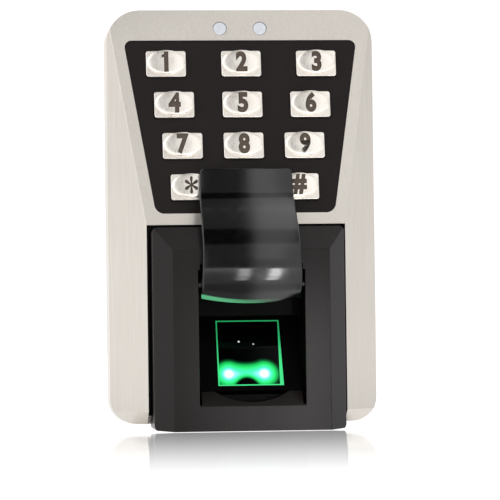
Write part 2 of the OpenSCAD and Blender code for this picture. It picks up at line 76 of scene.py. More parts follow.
def leaning_frame(depth: float, height: float, angle: float) -> Matrix:
    """The placement of a face that leans back by an angle.

    Args:
        depth: The face's distance out from the wall, in millimetres.
        height: Its Z, in millimetres.
        angle: How far its top leans towards the wall, in radians.

    Returns:
        The matrix from the face's own axes to the frame's.
    """
    place = Matrix.Translation((0.0, -depth * MM, height * MM))
    return place @ Matrix.Rotation(-angle, 4, "X")


ON_SLOPE = leaning_frame(RIM_DEPTH + (HALF_HEIGHT - SLOPE_Z) * SLOPE_RISE, SLOPE_Z, SLOPE_ANGLE)
ON_WINDOW = leaning_frame(WINDOW_DEPTH, WINDOW_Z, WINDOW_ANGLE)


# ---- Modelling bench ------------------------------------------------------------------


class Bench:
    """The modelling bench: each method is one step of shaping a piece by hand."""

    @staticmethod
    def hold(piece: bpy.types.Object) -> bpy.types.Object:
        """Selects one piece alone and makes it active.

        Args:
            piece: The piece to work on.

        Returns:
            The same piece.
        """
        if bpy.context.object and bpy.context.object.mode != "OBJECT":
            bpy.ops.object.mode_set(mode="OBJECT")
        bpy.ops.object.select_all(action="DESELECT")
        piece.select_set(True)
        bpy.context.view_layer.objects.active = piece
        return piece

    @staticmethod
    def settle(piece: bpy.types.Object) -> bpy.types.Object:
        """Moves a piece's place, turn and size into its mesh.

        Args:
            piece: The piece to work on.

        Returns:
            The same piece.
        """
        Bench.hold(piece)
        bpy.ops.object.transform_apply(location=True, rotation=True, scale=True)
        return piece

    @staticmethod
    def box(name: str, low: Triple, high: Triple) -> bpy.types.Object:
        """Adds a box between two corners.

        Args:
            name: The piece's name.
            low: Its lowest corner, in millimetres.
            high: Its highest corner, in millimetres.

        Returns:
            The new piece.
        """
        centre = [(a + b) / 2 * MM for a, b in zip(low, high)]
        size = [(b - a) * MM for a, b in zip(low, high)]
        bpy.ops.mesh.primitive_cube_add(size=1.0, location=centre, scale=size)
        bpy.context.object.name = name
        return Bench.settle(bpy.context.object)

    @staticmethod
    def rod(name: str, centre: Triple, radius: float, length: float,
            turn: Triple, sides: int = 64) -> bpy.types.Object:
        """Adds a round bar.

        Args:
            name: The piece's name.
            centre: Its middle, in millimetres.
            radius: Its radius, in millimetres.
            length: Its length, in millimetres.
            turn: Its turn from the Z axis, in degrees about X, Y and Z.
            sides: How many flats its round face has.

        Returns:
            The new piece.
        """
        bpy.ops.mesh.primitive_cylinder_add(
            vertices=sides, radius=radius * MM, depth=length * MM,
            location=[c * MM for c in centre], rotation=[math.radians(t) for t in turn])
        bpy.context.object.name = name
        return Bench.settle(bpy.context.object)

    @staticmethod
    def place(piece: bpy.types.Object, matrix: Matrix) -> bpy.types.Object:
        """Moves a piece drawn at the origin to its place; returns it."""
        piece.matrix_world = matrix @ piece.matrix_world
        return Bench.settle(piece)

    @staticmethod
    def edit(piece: bpy.types.Object, mode: str) -> None:
        """Enters edit mode on a piece with nothing selected, in VERT, EDGE or FACE mode.

        Args:
            piece: The piece to work on.
            mode: VERT, EDGE or FACE.
        """
        Bench.hold(piece)
        bpy.ops.object.mode_set(mode="EDIT")
        bpy.ops.mesh.select_mode(type=mode)
        bpy.ops.mesh.select_all(action="DESELECT")
        bpy.ops.object.mode_set(mode="OBJECT")

    @staticmethod
    def pick_edges(piece: bpy.types.Object, test: EdgeTest) -> int:
        """Enters edit mode with the edges that pass a test selected.

        Args:
            piece: The piece to work on.
            test: Takes an edge's middle in millimetres, its direction and the normals
                of the faces beside it.

        Returns:
            How many edges were selected.
        """
        Bench.edit(piece, "EDGE")
        mesh = piece.data
        beside: dict[tuple[int, int], list[Vector]] = {}
        for face in mesh.polygons:
            for key in face.edge_keys:
                beside.setdefault(key, []).append(face.normal.copy())
        count = 0
        for edge in mesh.edges:
            a, b = (mesh.vertices[i].co for i in edge.vertices)
            key = tuple(sorted(edge.vertices))
            edge.select = test((a + b) / 2 / MM, (b - a).normalized(), beside.get(key, []))
            count += edge.select
        bpy.ops.object.mode_set(mode="EDIT")
        return count

    @staticmethod
    def pick_faces(piece: bpy.types.Object, test: Callable[[Vector, Vector], bool]) -> None:
        """Enters edit mode with the faces selected whose middle and normal pass a test.

        Args:
            piece: The piece to work on.
            test: Takes a face's middle in millimetres and its normal.
        """
        Bench.edit(piece, "FACE")
        for face in piece.data.polygons:
            face.select = test(face.center / MM, face.normal)
        bpy.ops.object.mode_set(mode="EDIT")

    @staticmethod
    def pick_points(piece: bpy.types.Object, test: PlaceTest) -> None:
        """Enters edit mode with the points whose place in millimetres passes a test.

        Args:
            piece: The piece to work on.
            test: Takes a point's place in millimetres.
        """
        Bench.edit(piece, "VERT")
        for point in piece.data.vertices:
            point.select = test(point.co / MM)
        bpy.ops.object.mode_set(mode="EDIT")

    @staticmethod
    def round_edges(piece: bpy.types.Object, test: EdgeTest, width: float,
                    steps: int = 4) -> bpy.types.Object:
        """Bevels the edges that pass a test, by a width in millimetres.

        Args:
            piece: The piece to work on.
            test: Picks the edges, as in pick_edges.
            width: The bevel's width, in millimetres.
            steps: How many faces the bevel has.

        Returns:
            The same piece.
        """
        if Bench.pick_edges(piece, test):
            bpy.ops.mesh.bevel(offset_type="OFFSET", offset=width * MM, segments=steps,
                               profile=0.5, affect="EDGES", clamp_overlap=True)
        bpy.ops.object.mode_set(mode="OBJECT")
        return piece

    @staticmethod
    def slice(piece: bpy.types.Object, point: Triple, normal: Triple) -> bpy.types.Object:
        """Cuts away what lies beyond a plane and closes the cut.

        Args:
            piece: The piece to work on.
            point: A point of the plane, in millimetres.
            normal: The way to what is cut off.

        Returns:
            The same piece.
        """
        Bench.edit(piece, "VERT")
        bpy.ops.object.mode_set(mode="EDIT")
        bpy.ops.mesh.select_all(action="SELECT")
        bpy.ops.mesh.bisect(plane_co=[p * MM for p in point], plane_no=normal,
                            use_fill=True, clear_outer=True, threshold=1e-7)
        bpy.ops.object.mode_set(mode="OBJECT")
        return piece

    @staticmethod
    def mend(piece: bpy.types.Object, reach: float) -> bpy.types.Object:
        """Joins points closer than a reach in metres and turns the faces one way.

        Args:
            piece: The piece to work on.
            reach: Points closer than this are joined, in metres.

        Returns:
            The same piece.
        """
        Bench.edit(piece, "VERT")
        bpy.ops.object.mode_set(mode="EDIT")
        bpy.ops.mesh.select_all(action="SELECT")
        bpy.ops.mesh.remove_doubles(threshold=reach)
        bpy.ops.mesh.normals_make_consistent(inside=False)
        bpy.ops.object.mode_set(mode="OBJECT")
        return piece

    @staticmethod
    def narrow(piece: bpy.types.Object, test: PlaceTest, share: float) -> bpy.types.Object:
        """Scales the points that pass a test in X by a share.

        Args:
            piece: The piece to work on.
            test: Picks the points by their place.
            share: The scale in X.

        Returns:
            The same piece.
        """
        Bench.pick_points(piece, test)
        bpy.ops.transform.resize(value=(share, 1.0, 1.0), center_override=(0.0, 0.0, 0.0))
        bpy.ops.object.mode_set(mode="OBJECT")
        return piece

    @staticmethod
    def modify(piece: bpy.types.Object, kind: str, **settings: object) -> bpy.types.Object:
        """Adds a modifier with its settings, applies it.

        Args:
            piece: The piece to work on.
            kind: The modifier's type.
            **settings: Values of its properties.

        Returns:
            The same piece.
        """
        Bench.hold(piece)
        modifier = piece.modifiers.new(kind.title(), kind)
        for name, value in settings.items():
            setattr(modifier, name, value)
        bpy.ops.object.modifier_apply(modifier=modifier.name)
        return piece

    @staticmethod
    def combine(piece: bpy.types.Object, tool: bpy.types.Object, how: str = "DIFFERENCE",
                finish: str = "INDEX", folded: bool = False) -> bpy.types.Object:
        """Cuts, adds or keeps what a second piece covers, and removes that piece.

        Args:
            piece: The piece that stays.
            tool: The piece that is used up.
            how: DIFFERENCE, UNION or INTERSECT.
            finish: INDEX to keep the piece's finish, TRANSFER to bring the tool's along.
            folded: Whether the tool's faces may cross each other, as a heavy legend's do.

        Returns:
            The piece that stays.
        """
        Bench.modify(piece, "BOOLEAN", operation=how, object=tool, solver="EXACT",
                     use_self=folded, material_mode=finish)
        bpy.data.objects.remove(tool)
        return piece

    @staticmethod
    def polish(piece: bpy.types.Object, angle: float = 35.0) -> bpy.types.Object:
        """Shades a piece smooth up to an angle in degrees, with flat faces kept flat.

        Args:
            piece: The piece to work on.
            angle: Edges sharper than this stay sharp, in degrees.

        Returns:
            The same piece.
        """
        Bench.hold(piece)
        bpy.ops.object.shade_smooth_by_angle(angle=math.radians(angle))
        return Bench.modify(piece, "WEIGHTED_NORMAL", weight=100, keep_sharp=True)


# ---- Finishes -------------------------------------------------------------------------


def linear(colour: str) -> tuple[float, float, float, float]:
    """The linear colour of an sRGB hex value such as "#d6d1ca".

    Args:
        colour: The hex value.

    Returns:
        Red, green, blue and alpha, from 0 to 1.
    """
    parts = [int(colour[i:i + 2], 16) / 255 for i in (1, 3, 5)]
    spread = [p / 12.92 if p <= 0.04045 else ((p + 0.055) / 1.055) ** 2.4 for p in parts]
    return (*spread, 1.0)


def add_node(tree: bpy.types.NodeTree, kind: str, settings: dict | None = None,
             links: dict | None = None) -> bpy.types.Node:
    """Adds one node to a tree.

    Args:
        tree: The node tree.
        kind: The node's type name, without its "ShaderNode" start.
        settings: Values of its properties and unlinked sockets.
        links: The output socket that feeds each named input.

    Returns:
        The new node.
    """
    node = tree.nodes.new("ShaderNode" + kind)
    for name, value in (settings or {}).items():
        if isinstance(name, str) and hasattr(node, name):
            setattr(node, name, value)
        else:
            node.inputs[name].default_value = value
    for name, source in (links or {}).items():
        tree.links.new(source, node.inputs[name])
    return node


@dataclass(frozen=True)
class Finish:
    """One surface: a colour broken up by a fine grain and by a slow mottle."""

    name: str
    colour: str
    shade: str
    roughness: tuple[float, float]
    grain_mm: Triple = (0.4, 0.4, 0.4)
    bump_mm: float = 0.01
    metallic: float = 0.0
    ior: float = 1.5
    coat: float = 0.0
    anisotropy: float = 0.0
    glow: str | None = None
    glow_strength: float = 0.0
    mottle_mm: float = 14.0
    specular: float = 0.5

    def material(self) -> bpy.types.Material:
        """Builds the node tree of this finish, once.

        Returns:
            The material, made once for each name.
        """
        made = bpy.data.materials.get(self.name)
        if made:
            return made
        made = bpy.data.materials.new(self.name)
        made.use_nodes = True
        tree = made.node_tree
        tree.nodes.clear()
        shader = add_node(tree, "BsdfPrincipled", {
            "Metallic": self.metallic, "Coat Weight": self.coat,
            "Coat Roughness": 0.04, "Anisotropic": self.anisotropy,
            "Specular IOR Level": self.specular})
        if not self.metallic:
            shader.inputs["IOR"].default_value = self.ior
        self.colour_surface(tree, shader)
        if self.glow:
            shader.inputs["Emission Color"].default_value = linear(self.glow)
            shader.inputs["Emission Strength"].default_value = self.glow_strength
        add_node(tree, "OutputMaterial", links={"Surface": shader.outputs["BSDF"]})
        self.light_up(tree, shader)
        return made

    def light_up(self, tree: bpy.types.NodeTree, shader: bpy.types.Node) -> None:
        """Adds a glow with a pattern of its own, which a plain finish has not."""

    def colour_surface(self, tree: bpy.types.NodeTree, shader: bpy.types.Node) -> None:
        """Feeds the grain and the mottle to the shader's colour, roughness and normal.

        Args:
            tree: The node tree.
            shader: Its main shader.
        """
        place = add_node(tree, "TexCoord").outputs["Object"]
        stretched = add_node(tree, "Mapping", {
            "Scale": [1 / (size * MM) for size in self.grain_mm]}, {"Vector": place})
        grain = add_node(tree, "TexNoise", {"Scale": 1.0, "Detail": 4.0, "Roughness": 0.6},
                         {"Vector": stretched.outputs["Vector"]}).outputs["Fac"]
        mottle = add_node(tree, "TexNoise", {
            "Scale": 1 / (self.mottle_mm * MM), "Detail": 2.0},
            {"Vector": place}).outputs["Fac"]
        both = add_node(tree, "Math", {"operation": "MULTIPLY_ADD", 1: 0.35},
                        {0: mottle, 2: grain}).outputs["Value"]
        ramp = add_node(tree, "ValToRGB", links={"Fac": both})
        ramp.color_ramp.elements[0].position = 0.35
        ramp.color_ramp.elements[0].color = linear(self.shade)
        ramp.color_ramp.elements[1].position = 0.85
        ramp.color_ramp.elements[1].color = linear(self.colour)
        tree.links.new(ramp.outputs["Color"], shader.inputs["Base Color"])
        rough = add_node(tree, "MapRange", {
            "From Min": 0.3, "From Max": 0.7, "To Min": self.roughness[0],
            "To Max": self.roughness[1]}, {"Value": grain})
        tree.links.new(rough.outputs["Result"], shader.inputs["Roughness"])
        relief = add_node(tree, "Bump", {"Strength": 1.0, "Distance": self.bump_mm * MM},
                          {"Height": grain})
        tree.links.new(relief.outputs["Normal"], shader.inputs["Normal"])


@dataclass(frozen=True)
class Pool:
    """One round pool of painted light or shade on the window: its middle, reach and strength."""

    x: float
    z: float
    reach: float
    strength: float


def coordinates(tree: bpy.types.NodeTree, place: Matrix | None = None) -> bpy.types.Node:
    """Adds the object's coordinates, in a leaning face's axes if given.

    Args:
        tree: The node tree.
        place: The leaning face's placement, if any.

    Returns:
        The node whose outputs are X, Y and Z.
    """
    vector = add_node(tree, "TexCoord").outputs["Object"]
    if place:
        vector = add_node(tree, "Mapping", {
            "vector_type": "TEXTURE", "Location": place.translation,
            "Rotation": place.to_euler()}, {"Vector": vector}).outputs["Vector"]
    return add_node(tree, "SeparateXYZ", links={"Vector": vector})


def calculate(tree: bpy.types.NodeTree, how: str,
              *values: float | bpy.types.NodeSocket) -> bpy.types.NodeSocket:
    """Adds one Math node that works on numbers and sockets.

    Args:
        tree: The node tree.
        how: The operation.
        *values: Its inputs, as numbers or sockets.

    Returns:
        The socket with the result.
    """
    numbers = {i: v for i, v in enumerate(values) if isinstance(v, (int, float))}
    sockets = {i: v for i, v in enumerate(values) if not isinstance(v, (int, float))}
    return add_node(tree, "Math", {"operation": how, **numbers}, sockets).outputs["Value"]


def ease(tree: bpy.types.NodeTree, value: bpy.types.NodeSocket, none: float,
         full: float) -> bpy.types.NodeSocket:
    """Eases a value from 0 where it is at "none" to 1 where it is at "full".

    Args:
        tree: The node tree.
        value: The socket to ease.
        none: Where the result is 0.
        full: Where the result is 1.

    Returns:
        The socket with the eased value.
    """
    return add_node(tree, "MapRange", {
        "interpolation_type": "SMOOTHSTEP", "From Min": none, "From Max": full},
        {"Value": value}).outputs["Result"]


def distance_to(tree: bpy.types.NodeTree, axes: bpy.types.Node, x: float,
                z: float) -> bpy.types.NodeSocket:
    """Adds the distance to a place on a face, in metres, for X and Z in millimetres.

    Args:
        tree: The node tree.
        axes: The node that gives X, Y and Z.
        x: The place's X, in millimetres.
        z: Its Z, in millimetres.

    Returns:
        The socket with the distance, in metres.
    """
    dx = calculate(tree, "SUBTRACT", axes.outputs["X"], x * MM)
    dz = calculate(tree, "SUBTRACT", axes.outputs["Z"], z * MM)
    squares = calculate(tree, "ADD", calculate(tree, "MULTIPLY", dx, dx),
                        calculate(tree, "MULTIPLY", dz, dz))
    return calculate(tree, "SQRT", squares)


@dataclass(frozen=True)
class LitGlass(Finish):
    """Dark glass of the scanning window, with the glow of two green lamps behind it painted on.
    """

    # Two pools of painted lamp glow, and a painted dark notch between them at the bottom
    pools: tuple[Pool, ...] = (Pool(-6.85, -7.3, 10.4, 1.0), Pool(4.4, -7.3, 10.4, 1.0),
                               Pool(-1.2, -11.4, 4.6, -0.75))
    # Two small painted white glints that stand in for reflections in the glass
    glints: tuple[Pool, ...] = (Pool(-3.1, 4.1, 0.45, 1.0), Pool(1.5, 3.2, 0.4, 0.7))

    def light_up(self, tree: bpy.types.NodeTree, shader: bpy.types.Node) -> None:
        """Paints the lamps' glow, a dark notch and two white glints onto the glass as emission.

        Args:
            tree: The node tree.
            shader: Its main shader.
        """
        axes = coordinates(tree, ON_WINDOW)
        total = self.add_up(tree, axes, self.pools)
        ramp = add_node(tree, "ValToRGB", links={"Fac": total})
        stops = ramp.color_ramp.elements
        stops[0].position, stops[0].color = 0.46, (0.0, 0.0, 0.0, 1.0)
        stops[1].position, stops[1].color = 0.975, (1.0, 1.0, 1.0, 1.0)
        for position, colour in ((0.56, "#06401e"), (0.64, "#0f9a48"), (0.76, "#27d869"),
                                 (0.88, "#46eeb0"), (0.94, "#8ff3ee")):
            stops.new(position).color = linear(colour)
        glints = self.add_up(tree, axes, self.glints)
        lit = add_node(tree, "VectorMath", {"operation": "ADD"},
                       {0: ramp.outputs["Color"], 1: glints}).outputs["Vector"]
        tree.links.new(lit, shader.inputs["Emission Color"])
        shader.inputs["Emission Strength"].default_value = self.glow_strength

    @staticmethod
    def add_up(tree: bpy.types.NodeTree, axes: bpy.types.Node,
               pools: tuple[Pool, ...]) -> bpy.types.NodeSocket:
        """Adds up the light of several pools.

        Args:
            tree: The node tree.
            axes: The node that gives X, Y and Z.
            pools: The pools to add up.

        Returns:
            The socket with the sum.
        """
        total: float | bpy.types.NodeSocket = 0.0
        for pool in pools:
            near = ease(tree, distance_to(tree, axes, pool.x, pool.z), pool.reach * MM, 0.0)
            total = calculate(tree, "MULTIPLY_ADD", near, pool.strength, total)
        return total


@dataclass(frozen=True)
class EdgeLit(Finish):
    """Clear guide with a painted glow that grows downwards, towards the lamps."""

    dimmest: float = 0.45

    def light_up(self, tree: bpy.types.NodeTree, shader: bpy.types.Node) -> None:
        """Grades the guide's painted glow by height.

        Args:
            tree: The node tree.
            shader: Its main shader.
        """
        axes = coordinates(tree, ON_WINDOW)
        low = ease(tree, axes.outputs["Z"], 9.0 * MM, -6.0 * MM)
        tree.links.new(calculate(tree, "MULTIPLY_ADD", low, self.glow_strength, self.dimmest),
                       shader.inputs["Emission Strength"])


@dataclass(frozen=True)
class LitRim(Finish):
    """Gloss with a green light painted along its lowest rim, which is bowed downwards.

    The light is fixed to the piece, so it stays lit when the cover turns.
    """

    rim_z: float = -25.2
    rim_bow: float = 1.9
    half_width: float = 15.8

    def light_up(self, tree: bpy.types.NodeTree, shader: bpy.types.Node) -> None:
        """Adds the light along the rim.

        Args:
            tree: The node tree.
            shader: Its main shader.
        """
        axes = coordinates(tree)
        across = calculate(tree, "DIVIDE", axes.outputs["X"], self.half_width * MM)
        bow = calculate(tree, "MULTIPLY", across, across)
        height = calculate(tree, "MULTIPLY_ADD", bow, -self.rim_bow * MM, axes.outputs["Z"])
        start = (self.rim_z - self.rim_bow) * MM
        rim = ease(tree, height, start, start - 0.5 * MM)
        side = ease(tree, axes.outputs["X"], 11.0 * MM, -13.0 * MM)
        tree.links.new(calculate(tree, "MULTIPLY", calculate(tree, "MULTIPLY", rim, side),
                                 self.glow_strength), shader.inputs["Emission Strength"])


class Slots(Enum):
    """The finish of each material slot in the record."""

    # Brushed die-cast metal: the brush ran up and down, so the lines are long in Z
    casing_metal = Finish("brushed_cast_metal", "#e1dbd3", "#ccc6be", (0.30, 0.42),
                          (0.16, 0.16, 24.0), 0.004, metallic=1.0, anisotropy=0.3,
                          mottle_mm=40.0)
    # Moulded polycarbonate with a fine spark texture: near-black with a soft sheen
    panel_black = Finish("spark_textured_polycarbonate", "#1f1919", "#161111", (0.42, 0.55),
                         (0.35, 0.35, 0.35), 0.012, specular=0.15)
    # Polished and lacquered zinc: bright, with faint vertical polishing lines
    key_metal = Finish("polished_cast_zinc", "#faf4ec", "#eae3da", (0.26, 0.36),
                       (0.3, 0.3, 3.0), 0.0015, metallic=1.0, mottle_mm=5.0)
    # Satin moulded ABS: dark brown-grey with a dry fine texture
    block_abs = Finish("satin_moulded_abs", "#191413", "#120e0d", (0.26, 0.34),
                       (0.5, 0.5, 0.5), 0.006, specular=0.19)
    # The same ABS inside the well, darker and far less reflective than the block's: the well's
    # shade is painted into its colour
    well_abs = Finish("moulded_abs_painted_well_shade", "#060505", "#030303", (0.24, 0.34),
                      (0.8, 0.8, 0.8), 0.004, specular=0.025)
    # High-gloss moulded ABS of the cover: black, with sharp soft-box reflections
    cover_gloss = LitRim("high_gloss_abs", "#080708", "#050405", (0.09, 0.14),
                         (2.5, 2.5, 2.5), 0.001, ior=1.56, glow="#66c890",
                         glow_strength=0.75)
    # Milky acrylic of the status lamps: pale and faintly blue
    status_lens = Finish("milky_acrylic", "#cfd1d8", "#c2c5cd", (0.10, 0.20),
                         (0.9, 0.9, 0.9), 0.002, coat=0.4)
    # Optical glass with a black backing; the scan lamps' glow from below is painted on it as
    # emission
    prism_glass = LitGlass("backed_optical_glass", "#020303", "#010101", (0.03, 0.06),
                           (3.0, 3.0, 3.0), 0.0, specular=0.1, glow_strength=1.3)
    # Clear acrylic light guide; the green light that it leaks at its edge is painted on as a glow
    light_guide = EdgeLit("acrylic_with_painted_glow", "#1c6a40", "#0f4a2a", (0.15, 0.25),
                          (0.7, 0.7, 0.7), 0.0, glow="#35d67e", glow_strength=0.6)
    # Lit green epoxy lamps: pale and glowing all over
    green_led = Finish("lit_epoxy_lamp", "#d8ffe6", "#b6f7cf", (0.10, 0.20),
                       (0.6, 0.6, 0.6), 0.0, glow="#7dffc0", glow_strength=4.0)
    # Coated glass of the camera lens: blue-black and very glossy
    lens_glass = Finish("coated_lens_glass", "#20242c", "#12151b", (0.04, 0.08),
                        (1.5, 1.5, 1.5), 0.0, coat=0.6)
    # Matt moulded ABS of the back: coarse spark texture
    shell_abs = Finish("matt_moulded_abs", "#3c3c3e", "#2c2c2e", (0.52, 0.66),
                       (0.6, 0.6, 0.6), 0.02)
    # Cut EPDM foam rubber: black, dull and slightly rough
    gasket_rubber = Finish("black_epdm_rubber", "#26262a", "#18181a", (0.70, 0.82),
                           (0.4, 0.4, 0.4), 0.01)
    # Zinc-plated sheet steel: bluish grey with a fine rolled grain across
    bracket_steel = Finish("zinc_plated_sheet_steel", "#c3c7cb", "#9da2a7", (0.28, 0.44),
                           (5.0, 0.3, 0.3), 0.006, metallic=1.0, mottle_mm=8.0)
    # Moulded silicone of the key mat: pale grey, dull and even
    keypad_silicone = Finish("translucent_silicone", "#dedfdc", "#c8c9c5", (0.50, 0.62),
                             (0.9, 0.9, 0.9), 0.008)
    # Glass-fibre board under green solder mask: green, with a thin gloss
    circuit_board = Finish("solder_masked_fr4", "#1f6b3a", "#14502a", (0.28, 0.40),
                           (0.5, 0.5, 0.5), 0.006, coat=0.2)
    # Polyester film of the flat cables: cream, with fine lines along it
    ribbon_film = Finish("polyester_film", "#e9e4d8", "#d3cdbf", (0.30, 0.42),
                         (1.0, 1.0, 0.3), 0.004)
    # Moulded epoxy of chips and switches: charcoal and matt
    chip_resin = Finish("moulded_epoxy_resin", "#1c1c1e", "#101012", (0.55, 0.68),
                        (0.25, 0.25, 0.25), 0.008)
    # Moulded nylon of the relay: blue with a soft gloss
    relay_blue = Finish("glossy_moulded_nylon", "#2c62b8", "#214f99", (0.28, 0.38),
                        (0.7, 0.7, 0.7), 0.005)
    # Pressed stainless steel of the cell: bright, with short fine lines
    battery_steel = Finish("bright_stainless_steel", "#cfd2d4", "#b2b6b9", (0.18, 0.30),
                           (0.2, 0.2, 2.0), 0.003, metallic=1.0)
    # Glass-filled polyamide of the terminals: green and slightly dry
    header_green = Finish("glass_filled_polyamide", "#2f8f4f", "#226e3b", (0.40, 0.52),
                          (0.4, 0.4, 0.4), 0.008)
    # White moulded lamp bodies: off-white and even
    led_package = Finish("white_lamp_package", "#f3f3ea", "#dcdcd0", (0.35, 0.45),
                         (0.4, 0.4, 0.4), 0.004)
    # Moulded acetal of the plunger: ivory with a waxy sheen
    plunger_acetal = Finish("moulded_acetal", "#e8e2d0", "#d5cdb8", (0.35, 0.46),
                            (0.5, 0.5, 0.5), 0.005)
    # Passivated steel of the screws: grey with an uneven shine
    screw_steel = Finish("passivated_screw_steel", "#b9bcc0", "#8d9196", (0.25, 0.40),
                         (0.3, 0.3, 0.3), 0.006, metallic=1.0)


# Dark brown enamel that fills the engraved legends: matt, slightly uneven
LEGEND_ENAMEL = Finish("engraving_enamel", "#57493c", "#3c3127", (0.45, 0.60),
                       (0.5, 0.5, 0.5), 0.01)


# Steel of the hinge pin, painted near-black as the shade of the gaps beside the cover, with a
# faint sheen
PIN_STEEL_DARKENED_AS_SHADE = Finish("pin_steel_darkened_as_shade", "#161515", "#0c0b0b", (0.35, 0.5),
                         (0.3, 0.3, 0.3), 0.004)


def dress(piece: bpy.types.Object, slot: Slots, body: str, *nodes: str) -> None:
    """Gives a piece its finish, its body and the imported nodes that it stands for.

    Args:
        piece: The finished piece.
        slot: The record's material slot.
        body: The body that it rides on.
        nodes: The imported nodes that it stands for.
    """
    if not piece.data.materials:
        piece.data.materials.append(slot.value.material())
    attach(piece, body)
    if nodes:
        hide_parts(*nodes)
    log.info("%s: %d faces on %s", piece.name, len(piece.data.polygons), body)


# ---- Casing ---------------------------------------------------------------------------


def facing(normals: list[Vector], test: Callable[[Vector], bool],
           other: Callable[[Vector], bool]) -> bool:
    """Tells whether one face beside an edge passes a test and the other face a second.

    Args:
        normals: The normals of the faces beside the edge.
        test: What one face has to pass.
        other: What the other face has to pass.

    Returns:
        Whether the two faces pass, in either order.
    """
    if len(normals) != 2:
        return False
    a, b = normals
    return (test(a) and other(b)) or (test(b) and other(a))


def front_rim(side: float) -> EdgeTest:
    """The test for edges between a front face and sides that turn less than a share."""
    return lambda mid, way, normals: facing(
        normals, lambda n: n.y < -0.9, lambda n: abs(n.y) < side)


def front_border(mid: Vector, way: Vector, normals: list[Vector]) -> bool:
    """Tells whether an edge borders a front face at all."""
    return facing(normals, lambda n: n.y < -0.9, lambda n: n.y > -0.5)


def rod_end(mid: Vector, way: Vector, normals: list[Vector]) -> bool:
    """Tells whether an edge runs round the end of a rod that lies along X."""
    return facing(normals, lambda n: abs(n.x) > 0.9, lambda n: abs(n.x) < 0.1)


@dataclass
class Casing:
    """The wedge-shaped metal front: side walls, two flanks and the sloping keypad face."""

    half_width: float = 43.0
    back_depth: float = 0.6
    top_radius: float = 10.8
    bottom_radius: float = 8.0
    wall: float = 2.0
    foot_z: float = -62.4
    cutout_half_width: float = 31.7
    cutout_top: float = -3.2
    cutout_depth: float = 18.0
    crease_width: float = 1.0
    rim_width: float = 0.55
    lip_width: float = 0.32
    lens_x: float = 6.45
    lens_z: float = 32.4
    lens_hole: float = 2.25

    def body(self, name: str, inset: float, back: float) -> bpy.types.Object:
        """Models the wedge, or its hollow when inset.

        Args:
            name: The piece's name.
            inset: How far every face lies inside the outer one, in millimetres.
            back: The depth of its open back, in millimetres.

        Returns:
            The closed wedge.
        """
        side, tall = self.half_width - inset, HALF_HEIGHT - inset
        wedge = Bench.box(name, (-side, -60.0, -tall), (side, -back, tall))
        for upper, radius in ((True, self.top_radius), (False, self.bottom_radius)):
            Bench.round_edges(
                wedge, lambda mid, way, _: abs(way.y) > 0.9 and (mid.z > 0) == upper,
                radius - inset, 14)
        cos_s, sin_s = math.cos(SLOPE_ANGLE), math.sin(SLOPE_ANGLE)
        Bench.slice(wedge, (0.0, -RIM_DEPTH + inset * cos_s, HALF_HEIGHT - inset * sin_s),
                    (0.0, -cos_s, sin_s))
        for hand in (-1.0, 1.0):
            out = Vector((hand * math.sin(FLANK_ANGLE), -math.cos(FLANK_ANGLE), 0.0))
            rim = Vector((hand * self.half_width, -RIM_DEPTH, 0.0))
            Bench.slice(wedge, tuple(rim - out * inset), tuple(out))
            foot = (out + Vector((0.0, 0.0, -1.0))).normalized()
            heel = Vector((rim.x, rim.y, self.foot_z))
            Bench.slice(wedge, tuple(heel - foot * inset), tuple(foot))
        return wedge

    def soften(self, wedge: bpy.types.Object) -> None:
        """Rounds the two creases of the front, the feet and the rim all round.

        Args:
            wedge: The closed wedge.
        """
        def is_slope(n: Vector) -> bool:
            """Tells whether a normal is the keypad face's."""
            return n.y < -0.9

        def is_flank(n: Vector) -> bool:
            """Tells whether a normal is a flank's."""
            return abs(n.z) < 0.02 and -0.8 < n.y < -0.5

        def is_foot(n: Vector) -> bool:
            """Tells whether a normal is a foot's."""
            return n.z < -0.5 and n.y < -0.3

        def is_wall(n: Vector) -> bool:
            """Tells whether a normal is a side wall's."""
            return abs(n.y) < 0.02

        Bench.round_edges(wedge, lambda m, w, ns: facing(ns, is_slope, is_flank),
                          self.crease_width, 5)
        Bench.round_edges(wedge, lambda m, w, ns: facing(ns, is_flank, is_foot)
                          or facing(ns, is_slope, is_foot), 0.5, 3)
        Bench.round_edges(wedge, lambda m, w, ns: facing(ns, is_wall, lambda n: n.y < -0.3),
                          self.rim_width, 4)

    def build(self) -> bpy.types.Object:
        """Models the hollow front with its keypad window, lamp holes and cut-out.

        Returns:
            The finished casing.
        """
        wedge = self.body("front_casing", 0.0, self.back_depth)
        self.soften(wedge)
        Bench.combine(wedge, self.body("hollow", self.wall, self.back_depth - 1.0))
        half = self.cutout_half_width
        Bench.combine(wedge, Bench.box("cutout", (-half, -200.0, -200.0),
                                       (half, -self.cutout_depth, self.cutout_top)))
        Bench.combine(wedge, KeypadPanel().outline("window", 0.0, -6.0, 6.0))
        for hand in (-1.0, 1.0):
            hole = Bench.rod("lamp_hole", (hand * self.lens_x, 0.0, self.lens_z),
                             self.lens_hole, 12.0, ALONG_Y, 48)
            Bench.combine(wedge, Bench.place(hole, ON_SLOPE))
        self.break_edges(wedge)
        return Bench.polish(wedge, 30.0)

    def break_edges(self, wedge: bpy.types.Object) -> None:
        """Breaks the sharp outer edges of the window, lamp holes and cut-out.

        Args:
            wedge: The casing with its openings cut.
        """
        def on_edge(mid: Vector, way: Vector, normals: list[Vector]) -> bool:
            """Tells whether an edge is a sharp outer one, away from the rim.

            Args:
                mid: The edge's middle, in millimetres.
                way: Its direction.
                normals: The normals of the faces beside it.

            Returns:
                Whether the edge is to be broken.
            """
            if len(normals) != 2 or normals[0].dot(normals[1]) > 0.35:
                return False
            outer = [n for n in normals if n.y < -0.5]
            if len(outer) != 1:
                return False
            across = min(self.half_width - abs(mid.x), HALF_HEIGHT - abs(mid.z))
            return across > 2.5 and -mid.y > RIM_DEPTH - 0.5

        Bench.round_edges(wedge, on_edge, self.lip_width, 2)

    def dress(self) -> None:
        """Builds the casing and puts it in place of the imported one."""
        dress(self.build(), Slots.casing_metal, "terminal", "front_housing")


# ---- Keypad ---------------------------------------------------------------------------


